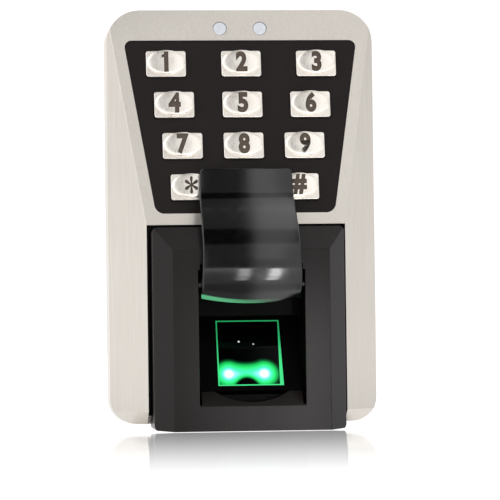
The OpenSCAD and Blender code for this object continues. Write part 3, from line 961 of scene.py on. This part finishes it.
@dataclass
class KeypadPanel:
    """The black trapezoid panel with its twelve key holes."""

    height: float = 57.0
    top_width: float = 75.3
    bottom_width: float = 57.2
    corner: float = 2.7
    recess: float = 0.4
    back: float = 3.6
    gap: float = 0.15

    def outline(self, name: str, shrink: float, front: float, back: float) -> bpy.types.Object:
        """Models the panel's outline as a plate in its place on the slope.

        Args:
            name: The piece's name.
            shrink: How far its sides lie inside the window's, in millimetres.
            front: Where it starts along the slope's own Y, in millimetres.
            back: Where it ends, in millimetres.

        Returns:
            The plate.
        """
        wide, tall = self.top_width / 2 - shrink, self.height / 2 - shrink
        plate = Bench.box(name, (-wide, front, -tall), (wide, back, tall))
        Bench.narrow(plate, lambda p: p.z < 0.0, (self.bottom_width / 2 - shrink) / wide)
        Bench.round_edges(plate, lambda m, way, _: abs(way.y) > 0.9, self.corner - shrink, 10)
        return Bench.place(plate, ON_SLOPE)

    def build(self, keys: "list[Key]") -> bpy.types.Object:
        """Models the panel and cuts a hole for each key.

        Args:
            keys: The keys that come through it.

        Returns:
            The finished panel.
        """
        plate = self.outline("keypad_fascia", self.gap, self.recess, self.back)
        for key in keys:
            Bench.combine(plate, key.blank("key_hole", self.gap, -3.0, 8.0))
        Bench.round_edges(plate, front_border, 0.18, 2)
        return Bench.polish(plate, 30.0)

    def dress(self, keys: "list[Key]") -> None:
        """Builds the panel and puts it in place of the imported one."""
        dress(self.build(keys), Slots.panel_black, "terminal", "keypad_panel")


@dataclass
class Key:
    """One cast key: a plate, a raised boss and an engraved legend."""

    name: str
    legend: str
    row: int
    column: int
    width: float = 12.8
    height: float = 8.5
    corner: float = 0.8
    plate_rise: float = 1.0
    boss_rise: float = 2.5
    boss_half_width: float = 6.2
    boss_half_height: float = 3.9
    boss_lift: float = 0.35
    dome_rise: float = 0.5
    dome_rings: int = 5
    legend_height: float = 6.7
    legend_width: float = 0.82
    legend_weight: float = 0.50
    legend_depth: float = 0.5
    legend_reach: float = 1.5
    back: float = 4.9
    column_pitch: float = 24.2
    column_pitch_loss: float = 2.31
    top_row_z: float = 20.5
    row_pitch: float = 13.53

    @property
    def centre(self) -> tuple[float, float]:
        """The key's X and Z on the slope, in millimetres."""
        pitch = self.column_pitch - self.row * self.column_pitch_loss
        return (self.column - 1) * pitch, self.top_row_z - self.row * self.row_pitch

    def on_panel(self) -> Matrix:
        """The placement of the key's own axes on the sloping panel."""
        x, z = self.centre
        return ON_SLOPE @ Matrix.Translation((x * MM, 0.0, z * MM))

    def blank(self, name: str, grow: float, front: float, back: float) -> bpy.types.Object:
        """Models the key's rounded outline as a plate in its place.

        Args:
            name: The piece's name.
            grow: How far it is larger all round, in millimetres.
            front: Where it starts along the slope's own Y, in millimetres.
            back: Where it ends, in millimetres.

        Returns:
            The plate.
        """
        wide, tall = self.width / 2 + grow, self.height / 2 + grow
        plate = Bench.box(name, (-wide, front, -tall), (wide, back, tall))
        Bench.round_edges(plate, lambda m, way, _: abs(way.y) > 0.9, self.corner, 5)
        return Bench.place(plate, self.on_panel())

    def boss(self) -> bpy.types.Object:
        """Models the raised oval boss and draws its face up into a low dome.

        Returns:
            The boss, in its place.
        """
        rim = self.boss_rise - self.dome_rise
        oval = Bench.rod("boss", (0.0, -rim / 2, 0.0), 1.0, rim, ALONG_Y, 72)
        Bench.pick_points(oval, lambda p: True)
        bpy.ops.transform.resize(
            value=(self.boss_half_width, 1.0, self.boss_half_height),
            center_override=(0.0, 0.0, 0.0))
        bpy.ops.mesh.select_all(action="DESELECT")
        bpy.ops.object.mode_set(mode="OBJECT")
        Bench.pick_faces(oval, lambda mid, n: n.y < -0.9)
        angles = [math.pi / 2 * (k + 1) / (self.dome_rings + 1) for k in range(self.dome_rings)]
        size, rise = 1.0, 0.0
        for angle in angles:
            bpy.ops.mesh.extrude_region_move(TRANSFORM_OT_translate={
                "value": (0.0, -(math.sin(angle) - rise) * self.dome_rise * MM, 0.0)})
            share = math.cos(angle) ** 0.8 / size
            bpy.ops.transform.resize(value=(share, 1.0, share),
                                     center_override=(0.0, 0.0, 0.0))
            size, rise = math.cos(angle) ** 0.8, math.sin(angle)
        bpy.ops.object.mode_set(mode="OBJECT")
        lift = Matrix.Translation((0.0, 0.0, self.boss_lift * MM))
        return Bench.place(oval, self.on_panel() @ lift)

    def legend_tool(self) -> bpy.types.Object:
        """Models the legend as a solid that cuts the engraving.

        Returns:
            The solid, in its place.
        """
        bpy.ops.object.text_add()
        text = bpy.context.object
        text.data.body = self.legend
        text.data.size = 1.4 * self.legend_height * MM
        text.data.offset = self.legend_weight * MM * (0.25 if self.legend == "*" else 1.0)
        text.data.extrude = self.legend_reach * MM
        text.data.resolution_u = 5
        Bench.hold(text)
        bpy.ops.object.convert(target="MESH")
        tool = Bench.mend(bpy.context.object, 2e-6)
        corners = [Vector(c) for c in tool.bound_box]
        middle = (corners[0] + corners[6]) / 2
        tall = (corners[6] - corners[0]).y
        target = self.legend_height * MM * (0.85 if self.legend == "*" else 1.0)
        tool.matrix_world = (
            Matrix.Rotation(math.pi / 2, 4, "X")
            @ Matrix.Diagonal((self.legend_width * target / tall, target / tall, 1.0, 1.0))
            @ Matrix.Translation(-middle))
        Bench.settle(tool)
        tool.location = (0.0, (self.legend_depth - self.boss_rise - self.legend_reach) * MM,
                         self.boss_lift * MM)
        Bench.settle(tool)
        if self.legend == "1":
            flag = Bench.box("flag", (-1.45, -3.5, 2.05), (0.0, self.legend_depth
                                                           - self.boss_rise, 3.05))
            Bench.pick_points(flag, lambda p: p.x < -1.0)
            bpy.ops.transform.translate(value=(0.0, 0.0, -0.45 * MM))
            bpy.ops.object.mode_set(mode="OBJECT")
            Bench.hold(tool)
            flag.select_set(True)
            bpy.ops.object.join()
        tool.data.materials.clear()
        tool.data.materials.append(LEGEND_ENAMEL.material())
        return Bench.place(tool, self.on_panel())

    def build(self) -> bpy.types.Object:
        """Models the key with its boss and engraves its legend.

        Returns:
            The finished key.
        """
        cap = self.blank(self.name + "_cap", 0.0, -self.plate_rise, self.back)
        Bench.round_edges(cap, front_border, 0.22, 3)
        Bench.combine(cap, self.boss(), "UNION")
        cap.data.materials.clear()
        cap.data.materials.append(Slots.key_metal.value.material())
        Bench.combine(cap, self.legend_tool(), finish="TRANSFER", folded=True)
        return Bench.polish(cap, 40.0)

    def dress(self) -> None:
        """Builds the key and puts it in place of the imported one."""
        dress(self.build(), Slots.key_metal, self.name, self.name)


@dataclass
class StatusLamp:
    """One round lamp lens above the keypad."""

    hand: float
    radius: float = 2.19
    length: float = 2.5

    def dress(self) -> None:
        """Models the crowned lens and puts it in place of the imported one."""
        side = "left" if self.hand < 0 else "right"
        lens = Bench.rod(f"status_lamp_{side}", (self.hand * Casing.lens_x, 1.0, Casing.lens_z),
                         self.radius, self.length, ALONG_Y, 40)
        Bench.round_edges(lens, front_rim(0.3), 0.6, 5)
        Bench.place(lens, ON_SLOPE)
        Bench.polish(lens, 50.0)
        dress(lens, Slots.status_lens, "terminal", f"status_lens_{side}")


# ---- Scanner --------------------------------------------------------------------------


@dataclass
class ScannerBlock:
    """The black block with chamfered sides and the finger well in its front."""

    half_width: float = 30.4
    back_depth: float = 18.2
    side_depth: float = 34.5
    front_depth: float = 42.5
    face_half_width: float = 24.7
    top: float = -4.2
    face_top: float = -11.55
    bottom: float = -68.4
    heel: float = -67.3
    corner: float = 1.8
    well_half_width: float = 16.7
    well_top: float = -18.0
    well_back: float = 26.0
    lip: float = -60.5
    scoop_radius: float = 22.0
    scoop_half_width: float = 12.6
    scoop_z: float = -59.4
    relief_radius: float = 6.5
    relief_length: float = 32.2
    wall: float = 2.0
    ramp_depth: float = 38.4
    ramp_z: float = -56.0
    slant_top_z: float = -32.4
    lip_face_z: float = -56.5
    tunnel_wall: float = 1.8
    tunnel_head: float = 3.6
    tunnel_back: float = 22.0
    groove_width: float = 0.8
    pocket_half_width: float = 16.5
    pocket_half_height: float = 13.4
    pocket_front: float = -0.6
    flange_low: Triple = (-34.4, -20.2, -61.3)
    flange_high: Triple = (34.4, -18.2, -2.75)
    flange_rim_x: float = 28.4
    flange_rim_z: float = -6.2

    def body(self, name: str, inset: float, back: float) -> bpy.types.Object:
        """Models the block's closed outer shape, or its hollow when inset.

        Args:
            name: The piece's name.
            inset: How far every face lies inside the outer one, in millimetres.
            back: The depth of its open back, in millimetres.

        Returns:
            The closed block.
        """
        side = self.half_width - inset
        block = Bench.box(name, (-side, -self.front_depth + inset, self.bottom + inset),
                          (side, -back, self.top - inset))
        Bench.round_edges(block, lambda m, way, _: abs(way.y) > 0.9,
                          max(self.corner - inset, 0.5), 8)
        step = self.front_depth - self.side_depth
        for hand in (-1.0, 1.0):
            run = self.half_width - self.face_half_width
            out = Vector((hand * step, -run, 0.0)).normalized()
            edge = Vector((hand * self.half_width, -self.side_depth, 0.0))
            Bench.slice(block, tuple(edge - out * inset), tuple(out))
        fall = self.top - self.face_top
        out = Vector((0.0, -fall, step)).normalized()
        edge = Vector((0.0, -self.side_depth, self.top))
        Bench.slice(block, tuple(edge - out * inset), tuple(out))
        under = Vector((0.0, -(self.heel - self.bottom),
                        -(self.front_depth - self.back_depth))).normalized()
        edge = Vector((0.0, -self.front_depth, self.bottom))
        Bench.slice(block, tuple(edge - under * inset), tuple(-Vector((0.0, under.y, -under.z))))
        return block

    def soften(self, block: bpy.types.Object) -> None:
        """Rounds the ridges between the front, the chamfers and the sides.

        Args:
            block: The closed block.
        """
        def is_front(n: Vector) -> bool:
            """Tells whether a normal is the front face's."""
            return n.y < -0.98

        def is_slant(n: Vector) -> bool:
            """Tells whether a normal is a chamfer's."""
            return -0.9 < n.y < -0.2

        Bench.round_edges(block, lambda m, w, ns: facing(ns, is_front, is_slant)
                          or facing(ns, is_slant, is_slant) and abs(w.y) > 0.2
                          and m.z > -15.0, 1.1, 5)
        Bench.round_edges(block, lambda m, w, ns: facing(
            ns, lambda n: n.y < -0.2, lambda n: abs(n.y) < 0.12), 0.75, 4)

    def well(self) -> bpy.types.Object:
        """Models the space of the finger well: straight sides over a ramped lip.

        Returns:
            The solid of the well's space.
        """
        well = Bench.box("well", (-self.well_half_width, -50.0, -75.0),
                         (self.well_half_width, -self.well_back, self.well_top))
        ramp = Vector((self.lip - self.ramp_z, 0.0, self.front_depth - self.ramp_depth))
        Bench.slice(well, (0.0, -self.front_depth, self.lip),
                    (0.0, -(self.lip - self.ramp_z) / ramp.length, -ramp.z / ramp.length))
        slant = Vector((0.0, self.slant_top_z - self.ramp_z, self.ramp_depth - self.well_back))
        Bench.slice(well, (0.0, -self.ramp_depth, self.ramp_z),
                    (0.0, slant.y / slant.length, -slant.z / slant.length))
        # The well's faces get the ABS with the painted shade; the lip's faces keep the block's
        # own ABS
        well.data.materials.append(Slots.well_abs.value.material())
        well.data.materials.append(Slots.block_abs.value.material())
        for face in well.data.polygons:
            on_lip = face.center.z < self.lip_face_z * MM and face.normal.z < -0.3
            face.material_index = int(on_lip)
        return well

    def scoop(self) -> bpy.types.Object:
        """Models the round hollow that the finger rests in at the lip.

        Returns:
            The solid of the hollow.
        """
        scoop = Bench.rod("scoop", (0.0, -46.0, self.scoop_z + self.scoop_radius),
                          self.scoop_radius, 20.0, ALONG_Y, 120)
        for hand in (-1.0, 1.0):
            Bench.slice(scoop, (hand * self.scoop_half_width, 0.0, 0.0), (hand, 0.0, 0.0))
        Bench.slice(scoop, (0.0, 0.0, -50.0), (0.0, 0.0, 1.0))
        return scoop

    def build(self) -> bpy.types.Object:
        """Models the hollow block with its well and the pocket of the window's holder.

        Returns:
            The finished block.
        """
        block = self.body("scanner_block", 0.0, self.back_depth)
        self.soften(block)
        hollow = self.body("hollow", self.wall, self.back_depth - 1.0)
        tunnel = self.well_half_width + self.tunnel_wall
        Bench.combine(hollow, Bench.box(
            "tunnel", (-tunnel, -60.0, self.lip - self.tunnel_wall),
            (tunnel, -self.tunnel_back, self.well_top + self.tunnel_head)))
        Bench.combine(block, hollow)
        block.data.materials.append(Slots.block_abs.value.material())
        Bench.combine(block, self.well(), finish="TRANSFER")
        grooves = [
            Bench.box("groove", (x, -43.0, self.lip + 0.4), (x + self.groove_width, -37.0, -55.0))
            for x in (-self.well_half_width, self.well_half_width - self.groove_width)]
        relief = Bench.rod("relief", HINGE, self.relief_radius, self.relief_length, ALONG_X,
                           96)
        # The scoop, the hinge relief and the grooves are lined with the ABS whose shade is
        # painted in
        for space in (self.scoop(), relief, *grooves):
            space.data.materials.append(Slots.well_abs.value.material())
            Bench.combine(block, space, finish="TRANSFER")
        wide, tall = self.pocket_half_width, self.pocket_half_height
        pocket = Bench.box("pocket", (-wide, self.pocket_front, -tall), (wide, 40.0, tall))
        Bench.combine(block, Bench.place(pocket, ON_WINDOW))
        Bench.round_edges(block, self.is_well_edge, 0.35, 3)
        return Bench.polish(block, 32.0)

    def is_well_edge(self, mid: Vector, way: Vector, normals: list[Vector]) -> bool:
        """Tells whether an edge runs round the mouth of the well.

        Args:
            mid: The edge's middle, in millimetres.
            way: Its direction.
            normals: The normals of the faces beside it.

        Returns:
            Whether the edge is one of the mouth's.
        """
        if abs(mid.x) > self.well_half_width + 0.3 or mid.z < self.lip - 3.0:
            return False
        return -mid.y > self.front_depth - 0.05 and facing(
            normals, lambda n: n.y < -0.98, lambda n: n.y > -0.95)

    def flange(self) -> bpy.types.Object:
        """Models the thin flange that closes the gap round the block from behind.

        Returns:
            The finished flange.
        """
        flange = Bench.box("scanner_flange", self.flange_low, self.flange_high)
        Bench.combine(flange, Bench.box("middle", (-self.flange_rim_x, -60.0, -200.0),
                                        (self.flange_rim_x, 0.0, self.flange_rim_z)))
        Bench.round_edges(flange, front_rim(0.1), 0.3, 2)
        return Bench.polish(flange)

    def dress(self) -> None:
        """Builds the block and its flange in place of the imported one."""
        dress(self.build(), Slots.block_abs, "terminal", "scanner_bezel")
        dress(self.flange(), Slots.block_abs, "terminal")


@dataclass
class ScanWindow:
    """The lit window at the bottom of the well: holder, glass and light guide."""

    top_half_width: float = 9.65
    foot_half_width: float = 9.95
    top: float = 11.3
    foot: float = -11.0
    guide_width: float = 0.4
    broad_corner: float = 0.8
    holder_half_width: float = 16.3
    holder_half_height: float = 13.2
    holder_depth: float = 14.0
    shaft_half_width: float = 11.0
    shaft_half_height: float = 12.5
    prism_depth: float = 8.0

    def holder(self) -> bpy.types.Object:
        """Models the frame that holds the window, with its opening.

        Returns:
            The finished holder.
        """
        wide, tall = self.holder_half_width, self.holder_half_height
        holder = Bench.box("window_holder", (-wide, 0.0, -tall), (wide, self.holder_depth, tall))
        Bench.combine(holder, self.outline("opening", self.guide_width, -1.0, 1.3))
        wide, tall = self.shaft_half_width, self.shaft_half_height
        Bench.combine(holder, Bench.box("shaft", (-wide, 1.25, -tall),
                                        (wide, self.holder_depth + 1.0, tall)))
        Bench.round_edges(holder, front_rim(0.3), 0.12, 2)
        Bench.place(holder, ON_WINDOW)
        return Bench.polish(holder)

    def outline(self, name: str, grow: float, front: float, back: float) -> bpy.types.Object:
        """Models the window's slightly tapered outline as a plate.

        Args:
            name: The piece's name.
            grow: How far it is larger all round, in millimetres.
            front: Where it starts along the window's own Y, in millimetres.
            back: Where it ends, in millimetres.

        Returns:
            The plate, not yet in its place.
        """
        wide = self.top_half_width + grow
        plate = Bench.box(name, (-wide, front, self.foot - grow), (wide, back, self.top + grow))
        return Bench.narrow(plate, lambda p: p.z < 0.0, (self.foot_half_width + grow) / wide)

    def pane(self, name: str, front: float, back: float) -> bpy.types.Object:
        """Models the glass's own outline, drawn in at its lower right corner.

        Args:
            name: The piece's name.
            front: Where it starts along the window's own Y, in millimetres.
            back: Where it ends, in millimetres.

        Returns:
            The plate, not yet in its place.
        """
        pane = self.outline(name, 0.0, front, back)
        Bench.pick_points(pane, lambda p: p.z < 0.0 and p.x > 0.0)
        bpy.ops.transform.translate(value=(-self.broad_corner * MM, 0.0, 0.0))
        bpy.ops.object.mode_set(mode="OBJECT")
        return pane

    def glass(self) -> bpy.types.Object:
        """Models the window's prism with a polished bevel round its face.

        Returns:
            The finished prism.
        """
        prism = self.pane("window_prism", 0.0, self.prism_depth)
        Bench.slice(prism, (0.0, 1.5, self.top), (0.0, 9.5, 6.5))
        Bench.slice(prism, (0.0, 1.5, self.foot), (0.0, 10.5, -6.5))
        Bench.round_edges(prism, front_rim(0.1), 0.12, 2)
        Bench.place(prism, ON_WINDOW)
        return Bench.polish(prism)

    def guide(self) -> bpy.types.Object:
        """Models the light guide round the glass, broad at the lower right.

        Returns:
            The finished light guide.
        """
        ring = self.outline("light_guide_ring", self.guide_width, 0.05, 1.25)
        Bench.combine(ring, self.pane("hole", -1.0, 3.0))
        Bench.place(ring, ON_WINDOW)
        return Bench.polish(ring)

    def dress(self) -> None:
        """Builds the holder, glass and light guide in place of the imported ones."""
        # The window's holder, deep in the well, wears the ABS with the painted shade too
        dress(self.holder(), Slots.well_abs, "terminal", "sensor_frame")
        dress(self.glass(), Slots.prism_glass, "terminal", "scan_prism")
        dress(self.guide(), Slots.light_guide, "terminal", "light_guide")


# ---- Flip cover -----------------------------------------------------------------------


@dataclass
class FlipCover:
    """The glossy S-shaped cover, standing open in front of the lower keys."""

    tip_half_width: float = 14.8
    heel_half_width: float = 15.8
    wall: float = 1.7
    crown: float = 0.9
    bow: float = 1.6
    barrel_radius: float = 2.4
    bore_radius: float = 1.06
    pin_radius: float = 1.0
    pin_length: float = 41.0
    columns: int = 14
    stations: list[tuple[float, float]] = field(default_factory=lambda: [
        (41.4, -27.0), (44.7, -23.6), (46.25, -19.6), (46.4, -15.4), (45.5, -10.8),
        (42.6, -5.6), (38.0, -0.6), (33.6, 3.4), (31.0, 7.2), (29.45, 14.5)])

    def curve(self, steps: int = 4) -> list[Vector]:
        """The smooth side line of the cover's face, as points in Y and Z.

        Args:
            steps: How many points lie between two stations.

        Returns:
            The line's points, in millimetres.
        """
        knots = [Vector((0.0, -d, z)) for d, z in self.stations]
        knots = [2 * knots[0] - knots[1], *knots, 2 * knots[-1] - knots[-2]]
        line = []
        for i in range(1, len(knots) - 2):
            a, b, c, d = knots[i - 1:i + 3]
            for k in range(steps):
                t = k / steps
                line.append(0.5 * (2 * b + (c - a) * t + (2 * a - 5 * b + 4 * c - d) * t ** 2
                                   + (3 * b - a - 3 * c + d) * t ** 3))
        return [*line, knots[-2]]

    def half_width_at(self, height: float) -> float:
        """Half of the cover's width at a height, in millimetres."""
        share = min(max((height + 22.0) / 36.0, 0.0), 1.0)
        return self.heel_half_width + (self.tip_half_width - self.heel_half_width) * share

    def sheet(self) -> bpy.types.Object:
        """Extrudes the cover's face station by station.

        Returns:
            The open sheet, without a wall.
        """
        line = self.curve()
        bpy.ops.mesh.primitive_grid_add(x_subdivisions=self.columns, y_subdivisions=1, size=1.0)
        sheet = bpy.context.object
        sheet.name = "flip_cover_shell"
        half = self.half_width_at(line[0].z)
        for low, station in ((True, line[0]), (False, line[1])):
            Bench.pick_points(sheet, lambda p: (p.y < 0) == low and abs(p.y) > 400.0)
            bpy.ops.transform.translate(
                value=(0.0, station.y * MM + (0.5 if low else -0.5), station.z * MM))
            bpy.ops.transform.resize(value=(2 * half * MM, 1.0, 1.0),
                                     center_override=(0.0, 0.0, 0.0))
            bpy.ops.object.mode_set(mode="OBJECT")
        Bench.pick_points(sheet, lambda p: abs(p.z - line[1].z) < 1e-3)
        for before, after in zip(line[1:], line[2:]):
            step = (after - before) * MM
            bpy.ops.mesh.extrude_region_move(TRANSFORM_OT_translate={"value": tuple(step)})
            share = self.half_width_at(after.z) / self.half_width_at(before.z)
            bpy.ops.transform.resize(value=(share, 1.0, 1.0),
                                     center_override=(0.0, 0.0, 0.0))
        bpy.ops.object.mode_set(mode="OBJECT")
        return sheet

    def shape(self, sheet: bpy.types.Object) -> None:
        """Crowns the face, bows its heel edge and rounds the corners of its tip.

        Args:
            sheet: The open sheet.
        """
        line = self.curve()
        for column in range(self.columns + 1):
            across = 2 * column / self.columns - 1
            for row, share in enumerate((1.0, 0.72, 0.46, 0.24, 0.08)):
                Bench.pick_points(sheet, lambda p: abs(p.z - line[row].z) < 0.02 and abs(
                    p.x / self.half_width_at(p.z) - across) < 0.05)
                drop = self.bow * share * (1 - across ** 2)
                bpy.ops.transform.translate(value=(0.0, drop * 0.5 * MM, -drop * MM))
                bpy.ops.object.mode_set(mode="OBJECT")
        for column in range(self.columns + 1):
            across = 2 * column / self.columns - 1
            Bench.pick_points(sheet, lambda p: abs(
                p.x / self.half_width_at(p.z) - across) < 0.05)
            bpy.ops.transform.translate(value=(0.0, self.crown * across ** 2 * MM, 0.0))
            bpy.ops.object.mode_set(mode="OBJECT")
        Bench.pick_points(sheet, lambda p: p.z > line[-1].z - 0.1 and abs(p.x) > 14.0)
        bpy.ops.mesh.bevel(offset=1.3 * MM, segments=5, affect="VERTICES")
        bpy.ops.object.mode_set(mode="OBJECT")

    def build(self) -> bpy.types.Object:
        """Models the walled cover with its rolled edges and hinge barrel.

        Returns:
            The finished cover.
        """
        sheet = self.sheet()
        self.shape(sheet)
        Bench.mend(sheet, 1e-6)
        front = sum((f.normal.y * f.area for f in sheet.data.polygons))
        Bench.modify(sheet, "SOLIDIFY", thickness=self.wall * MM,
                     offset=-1.0 if front < 0 else 1.0)
        Bench.modify(sheet, "BEVEL", width=0.5 * MM, segments=4, limit_method="ANGLE",
                     angle_limit=math.radians(50.0))
        barrel = Bench.rod("barrel", HINGE, self.barrel_radius, 2 * self.heel_half_width,
                           ALONG_X, 48)
        Bench.round_edges(barrel, rod_end, 0.3, 3)
        bore = Bench.rod("bore", HINGE, self.bore_radius, 60.0, ALONG_X, 32)
        Bench.combine(sheet, barrel, "UNION")
        Bench.combine(sheet, bore)
        return Bench.polish(sheet, 40.0)

    def pin(self) -> bpy.types.Object:
        """Models the hinge pin, painted near-black as shade, with its chamfered ends.

        Returns:
            The finished pin.
        """
        pin = Bench.rod("cover_pin", HINGE, self.pin_radius, self.pin_length, ALONG_X, 32)
        Bench.round_edges(pin, rod_end, 0.2, 1)
        pin.data.materials.append(PIN_STEEL_DARKENED_AS_SHADE.material())
        return Bench.polish(pin)

    def dress(self) -> None:
        """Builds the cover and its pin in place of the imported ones."""
        dress(self.build(), Slots.cover_gloss, "flip_cover", "flip_cover")
        dress(self.pin(), Slots.screw_steel, "terminal", "hinge_pin")


# ---- Studio ---------------------------------------------------------------------------


@dataclass(frozen=True)
class SoftLamp:
    """One rectangular studio lamp: where it stands, its size, power and colour."""

    name: str
    place: Triple
    aim: Triple
    size: tuple[float, float]
    power: float
    colour: str = "#ffffff"

    def light(self) -> None:
        """Adds the lamp, turned towards its aim."""
        lamp = bpy.data.lights.new(self.name, "AREA")
        lamp.shape = "RECTANGLE"
        lamp.size, lamp.size_y = self.size
        lamp.energy = self.power
        lamp.color = linear(self.colour)[:3]
        holder = bpy.data.objects.new(self.name, lamp)
        bpy.context.scene.collection.objects.link(holder)
        holder.location = self.place
        way = Vector(self.aim) - Vector(self.place)
        holder.rotation_euler = way.to_track_quat("-Z", "Y").to_euler()
        holder.visible_camera = False


@dataclass(frozen=True)
class SkyPanel:
    """One soft bright or dark panel of the surround, by its range of directions."""

    name: str
    x: tuple[float, float]
    y: tuple[float, float]
    z: tuple[float, float]
    soft: float
    level: float


@dataclass
class Studio:
    """A pale floor, a white surround, soft lamps and the camera."""

    floor_z: float = -68.5
    azimuth: float = -6.05
    elevation: float = -1.5
    roll: float = -0.73
    distance: float = 1.03
    lens: float = 230.5
    target: Triple = (2.53, -14.5, -11.05)
    surround_level: float = 1.1
    sheen: float = 0.84
    sheen_reach: float = 0.52
    floor_size: float = 8.0
    floor_light: float = 1.35
    sensor_width: float = 36.0
    panels: tuple[SkyPanel, ...] = (
        SkyPanel("dark_curtain", (-0.13, 0.09), (-1.0, 0.2), (-0.3, 1.0), 0.05, -0.90),
        SkyPanel("tall_softbox", (0.14, 0.23), (-1.0, 0.3), (0.25, 1.0), 0.06, 0.55),
        SkyPanel("boom_shadow", (-0.1, 1.0), (-0.60, -0.25), (0.80, 0.92), 0.10, -0.5),
        SkyPanel("right_flag", (0.60, 0.78), (-0.8, -0.5), (0.1, 0.6), 0.08, -0.35),
        SkyPanel("left_strip", (-0.86, -0.70), (-0.72, -0.45), (-0.4, 0.6), 0.08, 1.3),
        SkyPanel("left_wall", (-1.1, -0.90), (-1.0, 1.0), (-0.8, 0.8), 0.10, -0.22),
        SkyPanel("right_wall", (0.90, 1.1), (-1.0, 1.0), (-0.8, 0.8), 0.10, -0.37))

    def floor(self) -> None:
        """Lays the glossy white floor that the terminal stands on."""
        bpy.ops.mesh.primitive_plane_add(
            size=self.floor_size, location=(0.0, 0.0, self.floor_z * MM))
        floor = bpy.context.object
        floor.name = "studio_floor"
        made = bpy.data.materials.new("white_acrylic_table")
        made.use_nodes = True
        tree = made.node_tree
        tree.nodes.clear()
        place = add_node(tree, "TexCoord").outputs["Object"]
        pale = add_node(tree, "Emission", {"Color": (1.0, 1.0, 1.0, 1.0),
                                           "Strength": self.floor_light})
        sheen = add_node(tree, "BsdfGlossy", {"Color": (1.0, 1.0, 1.0, 1.0),
                                              "Roughness": 0.05})
        away = add_node(tree, "VectorMath", {"operation": "LENGTH"}, {0: place})
        share = calculate(tree, "MULTIPLY", ease(
            tree, away.outputs["Value"], self.sheen_reach, 0.0), self.sheen)
        mixed = add_node(tree, "MixShader", links={
            "Fac": share, 1: pale.outputs["Emission"], 2: sheen.outputs["BSDF"]})
        add_node(tree, "OutputMaterial", links={"Surface": mixed.outputs["Shader"]})
        floor.data.materials.append(made)

    def surround(self) -> None:
        """Makes the surround: white to the camera, with soft panels for the reflections."""
        world = bpy.data.worlds.new("studio")
        bpy.context.scene.world = world
        world.use_nodes = True
        tree = world.node_tree
        tree.nodes.clear()
        way = add_node(tree, "TexCoord").outputs["Generated"]
        axes = add_node(tree, "SeparateXYZ", links={"Vector": way})
        level: float | bpy.types.NodeSocket = self.surround_level
        for panel in self.panels:
            share: float | bpy.types.NodeSocket = panel.level
            for axis, (low, high) in (("X", panel.x), ("Y", panel.y), ("Z", panel.z)):
                off = calculate(tree, "ABSOLUTE", calculate(
                    tree, "SUBTRACT", axes.outputs[axis], (low + high) / 2))
                half = (high - low) / 2
                share = calculate(tree, "MULTIPLY", ease(tree, off, half + panel.soft, half),
                                  share)
            level = calculate(tree, "ADD", share, level)
            level.node.label = panel.name
        seen = add_node(tree, "LightPath").outputs["Is Camera Ray"]
        level = add_node(tree, "Math", {"operation": "MAXIMUM"}, {0: level, 1: seen})
        glow = add_node(tree, "Background", {"Color": (1.0, 1.0, 1.0, 1.0)},
                        {"Strength": level.outputs["Value"]})
        add_node(tree, "OutputWorld", links={"Surface": glow.outputs["Background"]})

    def lamps(self) -> None:
        """Hangs the studio lamps and the small green one inside the well."""
        for lamp in (
            SoftLamp("upper_left", (-0.7, -0.7, 0.9), (0.0, 0.0, 0.0), (0.6, 0.6), 1.5),
            SoftLamp("window_glow", (0.0, -0.0375, -0.0515), (0.0, -0.044, -0.02),
                     (0.016, 0.006), 0.004, "#35ff8a"),
            SoftLamp("low_right", (0.032, -0.155, -0.058), (0.009, -0.045, -0.020),
                     (0.010, 0.070), 0.028),
            SoftLamp("low_left", (0.005, -0.155, -0.058), (0.001, -0.045, -0.020),
                     (0.010, 0.070), 0.012),
        ):
            lamp.light()

    def camera(self) -> None:
        """Stands the camera in front, a little to the left, and sets it as the view."""
        a, e = math.radians(self.azimuth), math.radians(self.elevation)
        back = Vector((math.sin(a) * math.cos(e), -math.cos(a) * math.cos(e), math.sin(e)))
        camera = bpy.data.cameras.new("front_camera")
        camera.lens, camera.sensor_width = self.lens, self.sensor_width
        camera.clip_start, camera.clip_end = 0.05, 20.0
        holder = bpy.data.objects.new("front_camera", camera)
        bpy.context.scene.collection.objects.link(holder)
        holder.location = Vector(self.target) * MM + back * self.distance
        turn = (-back).to_track_quat("-Z", "Y").to_matrix()
        holder.rotation_euler = (
            turn @ Matrix.Rotation(math.radians(self.roll), 3, "Z")).to_euler()
        bpy.context.scene.camera = holder

    def set_up(self) -> None:
        """Builds the whole studio."""
        self.floor()
        self.surround()
        self.lamps()
        self.camera()
        bpy.context.scene.view_settings.view_transform = "Standard"


# ---- The whole terminal ---------------------------------------------------------------


def dress_packed_nodes() -> None:
    """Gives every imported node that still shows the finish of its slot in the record."""
    for part in frame["record"]["subparts"]:
        node = frame["nodes"][part["node"]]
        if node.hide_render:
            continue
        finish = Slots[part["material_slot"]].value.material()
        node.data.materials.clear()
        node.data.materials.append(finish)
        log.info("%s: %s", node.name, finish.name)


def keypad() -> list[Key]:
    """The twelve keys in their rows.

    Returns:
        The keys, from the top left to the bottom right.
    """
    legends = ("1", "2", "3", "4", "5", "6", "7", "8", "9", "*", "0", "#")
    names = {"*": "key_star", "#": "key_hash"}
    return [Key(names.get(mark, "key_" + mark), mark, i // 3, i % 3)
            for i, mark in enumerate(legends)]


def main() -> None:
    """Builds the studio and the terminal's pieces."""
    logging.basicConfig(level=logging.INFO, format="%(name)s: %(message)s")
    Studio().set_up()
    keys = keypad()
    Casing().dress()
    KeypadPanel().dress(keys)
    for key in keys:
        key.dress()
    for hand in (-1.0, 1.0):
        StatusLamp(hand).dress()
    ScannerBlock().dress()
    ScanWindow().dress()
    FlipCover().dress()
    dress_packed_nodes()


if __name__ == "__main__":
    main()
